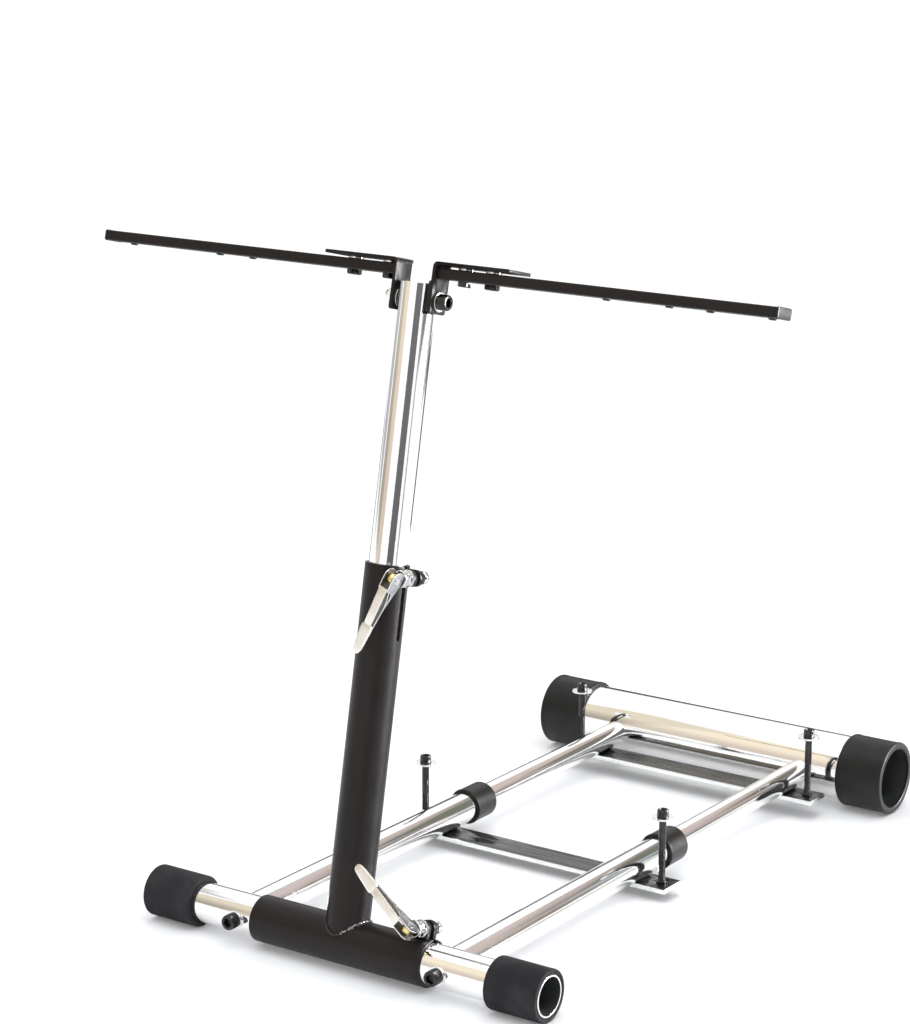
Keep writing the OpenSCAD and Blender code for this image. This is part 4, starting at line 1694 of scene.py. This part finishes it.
    def pin(self, piece: Piece) -> None:
        """Adds the headed pin with a dimple in each end."""
        half = self.half_fork
        r, head = self.pin_r, 4.2
        rings = [
            Ring(0, -half - 0.5), Ring(head - 1.6, -half - 1.0), Ring(head - 0.5, -half - 0.7),
            Ring(head, -half + 0.1), Ring(head, -half + 0.5), Ring(r, -half + 0.5), Ring(r, half - 0.5),
            Ring(head, half - 0.5), Ring(head, half - 0.1), Ring(head - 0.5, half + 0.7),
            Ring(head - 1.4, half + 1.0), Ring(head - 2.4, half + 0.9), Ring(0, half + 0.1),
        ]
        piece.spin(rings, self.lever_frame() @ along_x(), STEEL, 48, closed=False)

    def lever(self) -> None:
        """Makes the quick-release lever with its pin."""
        piece = Piece(f"{self.name}_quick_lever")
        self.strap(piece)
        for side in SIDES:
            self.cheek(piece, side)
        self.pin(piece)
        piece.set_down(self.lever_body, self.name.replace("clamp", "lever"))

    def build(self) -> None:
        """Makes every piece of the sub-assembly."""
        self.rod()
        self.eye()
        self.nuts()
        self.cam_seat()
        self.lever()


@dataclass
class Mast:
    """Chrome mast that slides in the upright tube."""

    sizes: Sizes
    frames: Frames
    length: float = 540.0
    wall: float = 2.0

    def build(self) -> None:
        """Makes the mast."""
        piece = Piece("mast_chrome_tube")
        top = self.sizes.mast_top
        piece.tube(self.sizes.mast_r, self.wall, top - self.length, top, self.frames.column(), 128)
        piece.set_down("mast_tube", "mast")


@dataclass
class Head:
    """Tilting head: two bent brackets, two arms and their fasteners."""

    sizes: Sizes
    frames: Frames
    plate_t: float = 3.5
    plate_front: float = -13.5
    leg_back: float = 13.5
    flange_back: float = 28.0
    leg_drop: float = 12.5
    flange_reach: float = 111.0
    riser_t: float = 2.5
    arm_top: float = 33.0
    arm_h: float = 10.5
    arm_w: float = 26.0
    arm_front: float = -9.0
    arm_wall: float = 1.5
    arm_l: float = 374.0
    cap_t: float = 3.0
    cap_lip: float = 0.5
    plug_gap: float = 0.54
    plug_l: float = 6.2
    plug_reach: float = 6.0
    bend_r: float = 5.0
    spacers: dict[int, float] = field(default_factory=lambda: {LEFT: 1.5, RIGHT: 3.5})
    arm_bolt_x: tuple[float, ...] = (-83.0, -40.0, 51.0, 83.0)
    screw_x: tuple[float, ...] = (-372.0, -256.0, -213.0, 213.0, 282.0, 326.0, 391.0)
    yoke_hole_x: tuple[float, ...] = (63.0, 87.0)
    yoke_hole_r: float = 2.75
    bolt_d: float = 10.0
    nut_flats: float = 16.0
    nut_t: float = 8.0
    washer_r: float = 10.0
    washer_t: float = 2.0
    arm_bolt_r: float = 4.0
    arm_bolt_flats: float = 13.0
    arm_bolt_head: float = 5.3
    riser_r: float = 8.0

    @property
    def flange_low(self) -> float:
        """Height of the flanges' lower faces above the pivot."""
        return self.arm_top + self.riser_t

    @property
    def flange_top(self) -> float:
        """Height of the flanges' upper faces above the pivot."""
        return self.flange_low + self.plate_t

    @property
    def arm_mid_y(self) -> float:
        """Place of the arms' middle line."""
        return self.arm_front + self.arm_w / 2

    def leg_x(self, side: int) -> float:
        """Gives the distance from the middle plane to a leg's inner face."""
        return self.sizes.mast_r + self.spacers[side]

    @property
    def arm_start(self) -> float:
        """Distance from the middle plane to an arm's inner end."""
        return self.leg_x(RIGHT) + self.plate_t

    @property
    def bolt_bore(self) -> float:
        """Radius of the pivot screw's holes."""
        return self.bolt_d / 2 + FIT_GAP

    def arm_section(self, inset: float, size: float, steps: int) -> list[Point2]:
        """Gives an arm's section in its YZ plane.

        Args:
            inset: How far the outline lies inside the arm's outer faces.
            size: The rounding of the corners.
            steps: Pieces in each rounding.

        Returns:
            Points as (y, z), anticlockwise.
        """
        low = (self.arm_front + inset, self.arm_top - self.arm_h + inset)
        high = (self.arm_front + self.arm_w - inset, self.arm_top - inset)
        return rectangle(low, high, size, steps)

    def bend(self, piece: Piece, place: Matrix, leg: float) -> None:
        """Adds the rounded corner between a bracket's leg and its flange.

        Args:
            piece: The bracket.
            place: The bracket's frame.
            leg: Distance from the middle plane to the leg's inner face.
        """
        r, t, edge, steps = self.bend_r, self.plate_t, 0.4, 8
        front, back = self.plate_front, self.leg_back
        section = (
            (r - edge, front), (r, front + edge), (r, back - edge), (r - edge, back),
            (r - t + edge, back), (r - t, back - edge), (r - t, front + edge), (r - t + edge, front),
        )
        centre_x, centre_z = leg + r, self.flange_top - r
        rows = []
        for step in range(steps + 1):
            angle = math.pi - (TURN / 4) * step / steps
            c, s = math.cos(angle), math.sin(angle)
            rows.append([place @ Vector((centre_x + out * c, y, centre_z + out * s)) for out, y in section])
        piece.capped(rows, POWDER_COAT)

    def bracket(self, side: int) -> None:
        """Makes one bent bracket: leg, bend and flange.

        Args:
            side: LEFT or RIGHT.
        """
        piece = Piece(f"bent_bracket_{SIDE_NAMES[side]}")
        place = self.frames.head() @ mirrored(side)
        leg = self.leg_x(side)
        leg_top = self.flange_top - self.bend_r + 0.01
        flange_start = leg + self.bend_r - 0.01
        wing_start = leg + self.bend_r + 3.0
        outline = rounded([
            (self.plate_front, -self.leg_drop, 3.5), (self.leg_back, -self.leg_drop, 3.5),
            (self.leg_back, leg_top, 0.0), (self.plate_front, leg_top, 0.0),
        ], 6)
        hole = circle(0, 0, self.bolt_bore, count=36)
        piece.plate(outline, [hole], self.plate_t, place @ facing_x(leg), POWDER_COAT, 0.4)
        flange = rounded([
            (flange_start, self.plate_front, 0.0), (self.flange_reach, self.plate_front, 3.5),
            (self.flange_reach, self.flange_back, 3.5), (wing_start, self.flange_back, 3.5),
            (wing_start, self.leg_back, 0.0), (flange_start, self.leg_back, 0.0),
        ], 6)
        bore = self.arm_bolt_r + FIT_GAP
        holes = [circle(x * side, self.arm_mid_y, bore, count=30) for x in self.arm_bolt_x if x * side > 0]
        yoke_y = (self.arm_front + self.arm_w + self.flange_back) / 2
        holes += [circle(x, yoke_y, self.yoke_hole_r, count=24) for x in self.yoke_hole_x]
        lift = Matrix.Translation((0, 0, self.flange_low))
        piece.plate(flange, holes, self.plate_t, place @ lift, POWDER_COAT, 0.4)
        self.bend(piece, place, leg)
        piece.set_down("head", f"bracket_{SIDE_NAMES[side]}")

    def pivot(self) -> None:
        """Makes the pivot screw, its nut and its washers."""
        head = self.frames.head()
        r = self.bolt_d / 2
        right = self.leg_x(RIGHT) + self.plate_t
        left = self.leg_x(LEFT) + self.plate_t
        screw = Piece("pivot_socket_screw")
        start = right + self.washer_t
        reach = start + left + self.washer_t + self.bolt_d
        threads = thread_rings(r, -reach + 1.0, -reach + 26.0, 1.5)
        rings = [Ring(0, -reach), Ring(r - 1.0, -reach)] + threads
        rings += socket_head_rings(self.bolt_d, reach)[3:]
        screw.spin(rings, head @ along_x(start), BLACK_OXIDE, 80, closed=False)
        screw.set_down("head", "pivot_bolt")
        nut = Piece("pivot_hexagon_nut")
        inward = Matrix.Translation((-left - self.washer_t, 0, 0)) @ Matrix.Rotation(-TURN / 4, 4, "Y")
        nut.spin(nut_rings(self.nut_flats, self.bolt_bore, 0.0, self.nut_t), head @ inward, ZINC, 72)
        nut.set_down("head", "pivot_nut")
        washers = Piece("pivot_plain_washers")
        stack = (
            (right, self.washer_t), (-left - self.washer_t, self.washer_t),
            (-self.leg_x(LEFT), self.spacers[LEFT] - RUN_GAP),
        )
        for low, thick in stack:
            rings = washer_rings(self.washer_r, self.bolt_bore, 0.0, thick)
            washers.spin(rings, head @ along_x(low), ZINC, 72)
        washers.set_down("head", "pivot_washers")

    def spacer(self) -> None:
        """Makes the block between the mast and the right bracket."""
        block = Piece("mast_spacer_block")
        outline = rectangle((-12, -10), (12, 20), 3.0, 6)
        hole = circle(0, 0, self.bolt_bore, count=36)
        place = self.frames.head() @ facing_x(self.sizes.mast_r + RUN_GAP)
        block.plate(outline, [hole], self.spacers[RIGHT] - RUN_GAP, place, PLASTIC, 0.5)
        block.set_down("head", "mast_spacer")

    def arm(self, side: int) -> None:
        """Makes one arm: a rectangular tube with rounded corners.

        Args:
            side: LEFT or RIGHT.
        """
        piece = Piece(f"cross_arm_{SIDE_NAMES[side]}")
        outer = self.arm_section(0.0, 1.6, 5)
        inner = self.arm_section(self.arm_wall, 0.6, 5)
        place = self.frames.head() @ mirrored(side)
        start, end = self.arm_start, self.arm_start + self.arm_l
        rows = [[place @ Vector((x, y, z)) for y, z in loop]
                for x, loop in ((start, outer), (end, outer), (end, inner), (start, inner))]
        piece.grid(rows, POWDER_COAT, close_rows=True)
        piece.set_down("head", f"arm_{SIDE_NAMES[side]}")

    def cap(self, side: int) -> None:
        """Makes one plastic end cap with its plug.

        Args:
            side: LEFT or RIGHT.
        """
        piece = Piece(f"arm_end_cap_{SIDE_NAMES[side]}")
        place = self.frames.head() @ mirrored(side) @ facing_x(self.arm_start + self.arm_l)
        piece.plate(self.arm_section(-self.cap_lip, 2.6, 6), [], self.cap_t, place, PLASTIC, 0.9)
        plug = self.arm_section(self.arm_wall + self.plug_gap, 0.5, 3)
        inward = Matrix.Translation((0, 0, -self.plug_reach))
        piece.plate(plug, [], self.plug_l, place @ inward, PLASTIC, 0.3)
        piece.set_down("head", f"arm_cap_{SIDE_NAMES[side]}")

    def arm_bolts(self) -> None:
        """Makes the hexagon bolts through the arms and the bright washers above the arms."""
        bolts = Piece("arm_hexagon_bolts")
        risers = Piece("arm_riser_washers")
        low, high, r = self.arm_top - self.arm_h, self.flange_top, self.arm_bolt_r
        foot = low - self.arm_bolt_head
        half = self.arm_bolt_flats / 2
        corner = half / math.cos(TURN / 12) + 0.01
        rings = [
            Ring(0, foot + 0.25), Ring(r - 0.6, foot + 0.2), Ring(r, foot),
            Ring(half * 0.93, foot, Form.HEXAGON, half), Ring(corner, foot + 0.8, Form.HEXAGON, half),
            Ring(corner, low - 0.4, Form.HEXAGON, half), Ring(half * 0.95, low - 0.4, Form.HEXAGON, half),
            Ring(half * 0.95, low), Ring(r, low), Ring(r, high - 0.5), Ring(r - 0.6, high), Ring(0, high),
        ]
        riser = washer_rings(self.riser_r, r + FIT_GAP, self.arm_top, self.riser_t)
        for number, x in enumerate(self.arm_bolt_x):
            place = self.frames.head() @ Matrix.Translation((x, self.arm_mid_y, 0))
            twist = Matrix.Rotation(0.2 + 0.3 * number, 4, "Z")
            bolts.spin(rings, place @ twist, BLACK_OXIDE, 72, closed=False)
            risers.spin(riser, place, ZINC, 60)
        bolts.set_down("head", "arm_bolts")
        risers.set_down("head", "arm_risers")

    def small_screws(self) -> None:
        """Makes the small screws under the arms, each with its socket."""
        screws = Piece("arm_small_screws")
        top = self.arm_h
        rings = [
            Ring(0, -0.9), Ring(0, -0.9, Form.SOCKET, 1.25), Ring(0, -1.9, Form.SOCKET, 1.25),
            Ring(2.6, -2.0), Ring(3.4, -1.75), Ring(3.9, -1.2), Ring(4.0, -0.4), Ring(4.0, 0),
            Ring(2.0, 0), Ring(2.0, top - 0.4), Ring(1.6, top), Ring(0, top),
        ]
        for x in self.screw_x:
            place = self.frames.head() @ Matrix.Translation((x, self.arm_mid_y, self.arm_top - top))
            screws.spin(rings, place, BLACK_OXIDE, 36, closed=False)
        screws.set_down("head", "arm_screws")

    def build(self) -> None:
        """Makes every piece of the sub-assembly."""
        self.pivot()
        self.spacer()
        self.arm_bolts()
        self.small_screws()
        for side in SIDES:
            self.bracket(side)
            self.arm(side)
            self.cap(side)


# Studio


@dataclass
class Studio:
    """Camera, floor, light and the surroundings that the chrome reflects."""

    frames: Frames
    focal_px: float = 2923.65
    image_h: float = 1024.0
    sensor: float = 36.0
    eye: Triple = (1645.44, -2217.96, 1115.52)
    azimuth: float = 34.42
    elevation: float = 13.16
    roll: float = 0.8
    floor_size: float = 14.0
    lamp_place: Triple = (0.4, -0.6, 3.2)
    lamp_aim: Triple = (0.0, 0.0, 0.25)
    lamp_size: float = 2.6
    lamp_power: float = 30.0

    def camera(self) -> None:
        """Puts the camera where the photograph was taken."""
        az, el, ro = (math.radians(value) for value in (self.azimuth, self.elevation, self.roll))
        level = Vector((math.cos(az), math.sin(az), 0))
        upright = Vector((-math.sin(az) * math.sin(el), math.cos(az) * math.sin(el), math.cos(el)))
        back = Vector((math.sin(az) * math.cos(el), -math.cos(az) * math.cos(el), math.sin(el)))
        across = level * math.cos(ro) + upright * math.sin(ro)
        up = upright * math.cos(ro) - level * math.sin(ro)
        data = bpy.data.cameras.new("photo_camera")
        data.sensor_fit = "VERTICAL"
        data.sensor_height = self.sensor
        data.lens = self.focal_px * self.sensor / self.image_h
        data.clip_end = 100.0
        view = new_object("photo_camera", data)
        place = Matrix((across, up, back)).transposed().to_4x4()
        place.translation = Vector((self.eye[0], self.eye[1] + self.frames.front_y, self.eye[2])) * MM
        view.matrix_world = place
        bpy.context.scene.camera = view

    def floor(self) -> None:
        """Lays the plain pale floor, a hair below the feet."""
        bm = bmesh.new()
        bmesh.ops.create_grid(bm, x_segments=1, y_segments=1, size=self.floor_size)
        data = mesh_data("studio_floor", bm)
        paint = new_material("floor_paint")
        set_inputs(paint.node_tree.nodes["Principled BSDF"], {
            "Base Color": (0.87, 0.88, 0.9, 1.0),
            "Roughness": 0.8,
            "Specular IOR Level": 0.1,
            "Emission Color": (1.0, 1.0, 1.0, 1.0),
            "Emission Strength": 0.1,
        })
        data.materials.append(paint)
        ground = new_object("studio_floor", data)
        ground.location = (0, 0, -0.0005)

    def softbox(self) -> None:
        """Hangs one soft square lamp that points at the stand's middle."""
        data = bpy.data.lights.new("top_softbox", "AREA")
        data.size = self.lamp_size
        data.energy = self.lamp_power
        lamp = new_object("top_softbox", data)
        lamp.location = self.lamp_place
        aim = Vector(self.lamp_aim) - Vector(self.lamp_place)
        lamp.rotation_euler = aim.to_track_quat("-Z", "Y").to_euler()

    def surroundings(self) -> None:
        """Makes the plain white room."""
        world = bpy.data.worlds.new("studio_room")
        world.use_nodes = True
        bpy.context.scene.world = world
        backdrop = world.node_tree.nodes["Background"]
        set_inputs(backdrop, {"Color": (1.0, 1.0, 1.0, 1.0), "Strength": 1.1})

    def build(self) -> None:
        """Sets up everything around the stand."""
        self.camera()
        self.floor()
        self.surroundings()
        self.softbox()
        for card in CARDS:
            card.build()


@dataclass(frozen=True)
class Card:
    """One upright board that only reflections show, curved round the stand.

    The headings are degrees round from the camera's direction, anticlockwise seen from above. The heights
    are degrees above the floor, seen from the part's origin.
    """

    name: str
    first: float
    last: float
    low: float
    high: float
    dark: Triple
    light: Triple
    strength: float = 1.0
    grain: float = 0.0
    distance: float = 3.6
    stretch: Triple = (1.0, 1.0, 1.0)
    sparkle: float = 1.6
    camera_heading: float = -55.58

    def build(self) -> None:
        """Stands the board up."""
        bm = bmesh.new()
        rows = []
        for height in (self.low, self.high):
            z = self.distance * math.tan(math.radians(height))
            row = []
            for step in range(BOARD_STEPS + 1):
                heading = self.first + (self.last - self.first) * step / BOARD_STEPS
                turn = math.radians(self.camera_heading + heading)
                row.append(bm.verts.new((self.distance * math.cos(turn), self.distance * math.sin(turn), z)))
            rows.append(row)
        low_row, high_row = rows
        for i in range(BOARD_STEPS):
            bm.faces.new((low_row[i], low_row[i + 1], high_row[i + 1], high_row[i]))
        data = mesh_data(self.name, bm)
        data.materials.append(self.paint())
        board = new_object(self.name, data)
        board.visible_camera = False
        board.visible_diffuse = False
        board.visible_transmission = False
        board.visible_volume_scatter = False
        board.visible_shadow = False

    def paint(self) -> bpy.types.Material:
        """Builds the board's glow, from dark to light up its height, with grain where it has some.

        Returns:
            The material.
        """
        made = new_material(self.name)
        tree = made.node_tree
        tree.nodes.remove(tree.nodes["Principled BSDF"])
        surface = tree.nodes["Material Output"]
        glow = add_node(tree, "Emission")
        place = add_node(tree, "TexCoord")
        split = add_node(tree, "SeparateXYZ")
        noise = add_node(tree, "TexNoise", {"Scale": 1.0, "Detail": 3.0, "Roughness": 0.7})
        pull = add_node(tree, "VectorMath", {1: self.stretch}, "MULTIPLY")
        contrast = add_node(tree, "MapRange", {"From Min": 0.52, "From Max": 0.68, "To Max": self.grain})
        sparkle = {1: self.sparkle * self.strength, 2: self.strength}
        lift = add_node(tree, "Math", sparkle, "MULTIPLY_ADD")
        rise = add_node(tree, "MapRange", {"From Min": 0.1, "From Max": 0.45})
        both = add_node(tree, "Math", operation="ADD")
        both.use_clamp = True
        mix = add_colour_mix(tree)
        set_inputs(mix, {MIX_FIRST: (*self.dark, 1.0), MIX_SECOND: (*self.light, 1.0)})
        wire(tree, [
            (place, "Generated", split, 0),
            (place, "Object", pull, 0),
            (pull, "Vector", noise, "Vector"),
            (noise, "Fac", contrast, "Value"),
            (contrast, "Result", lift, 0),
            (lift, "Value", glow, "Strength"),
            (split, "Z", rise, "Value"),
            (rise, "Result", both, 0),
            (contrast, "Result", both, 1),
            (both, "Value", mix, "Factor"),
            (mix, MIX_RESULT, glow, "Color"),
            (glow, "Emission", surface, "Surface"),
        ])
        return made


ALONG_MAST = (1.0, 1.0, 110.0)
ALONG_TUBES = (55.0, 55.0, 2.2)
WARM_GREY = (0.6, 0.51, 0.48)
PALE_GREY = (0.66, 0.66, 0.67)
WHITE = (1.0, 1.0, 1.0)
CARDS = [
    Card("grey_card", -10.0, 26.0, -12.0, 45.0, (0.09, 0.09, 0.097), (0.15, 0.15, 0.16),
         grain=0.5, stretch=ALONG_MAST),
    Card("tan_card", -97.0, -75.0, 7.4, 51.0, (0.44, 0.385, 0.31), (0.82, 0.74, 0.59)),
    Card("cream_card", -75.0, -50.0, 7.4, 51.0, (0.7, 0.6, 0.51), (1.0, 0.89, 0.71)),
    Card("brown_card", 98.0, 117.0, 13.0, 52.0, (0.23, 0.2, 0.18), WARM_GREY,
         grain=0.6, stretch=ALONG_TUBES),
    Card("upper_card", 117.0, 150.0, 26.0, 52.0, (0.3, 0.26, 0.24), WARM_GREY,
         grain=0.6, stretch=ALONG_TUBES),
    Card("slate_card", 117.0, 146.0, 7.9, 26.0, (0.16, 0.185, 0.21), (0.4, 0.45, 0.49),
         grain=0.7, stretch=ALONG_TUBES),
    Card("low_card", 102.0, 134.0, -2.0, 7.9, (0.27, 0.27, 0.24), (0.6, 0.6, 0.58),
         grain=0.8, stretch=ALONG_TUBES),
    Card("edge_card", 119.0, 137.0, 13.0, 32.0, (0.2, 0.2, 0.17), (0.2, 0.2, 0.17), distance=1.35),
    Card("back_card", 137.0, 222.0, -2.0, 15.0, (0.1, 0.1, 0.1), (0.1, 0.1, 0.1), distance=1.35),
    Card("line_card", 42.0, 49.0, -4.0, 46.0, (0.34, 0.35, 0.37), (0.5, 0.5, 0.52)),
    Card("right_card", 49.0, 74.0, 14.0, 46.0, (0.24, 0.25, 0.27), PALE_GREY),
    Card("left_card", 224.0, 256.0, 4.0, 46.0, (0.5, 0.5, 0.52), PALE_GREY),
    Card("bright_card", 78.0, 97.0, -8.0, 34.0, WHITE, WHITE, strength=60.0),
]


def main() -> None:
    """Builds the stand piece by piece, placed by the front crossbar's box."""
    logging.basicConfig(level=logging.INFO, format="%(name)s: %(message)s")
    low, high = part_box("front_crossbar")
    sizes = Sizes()
    frames = Frames(sizes, (low[1] + high[1]) / 2 / MM)
    Studio(frames).build()
    Base(sizes, frames).build()
    PedalClamp(sizes, frames, "front", "base", middle_s=359.0, top_z=-sizes.rail_r).build()
    PedalClamp(sizes, frames, "rear", "rear_base", middle_s=690.0, top_z=-sizes.inner_r).build()
    RearBase(sizes, frames).build()
    Column(sizes, frames).build()
    Clamp(
        sizes, frames.height_clamp(), "height_clamp", "height_clamp_lever", tube_r=sizes.column_r,
        lever_angle=20.5,
    ).build()
    Clamp(
        sizes, frames.tilt_clamp(), "tilt_clamp", "tilt_clamp_lever", tube_r=sizes.sleeve_r,
        lever_angle=217.0,
    ).build()
    Mast(sizes, frames).build()
    Head(sizes, frames).build()
    bpy.context.scene.view_settings.view_transform = "Standard"


if __name__ == "__main__":
    main()
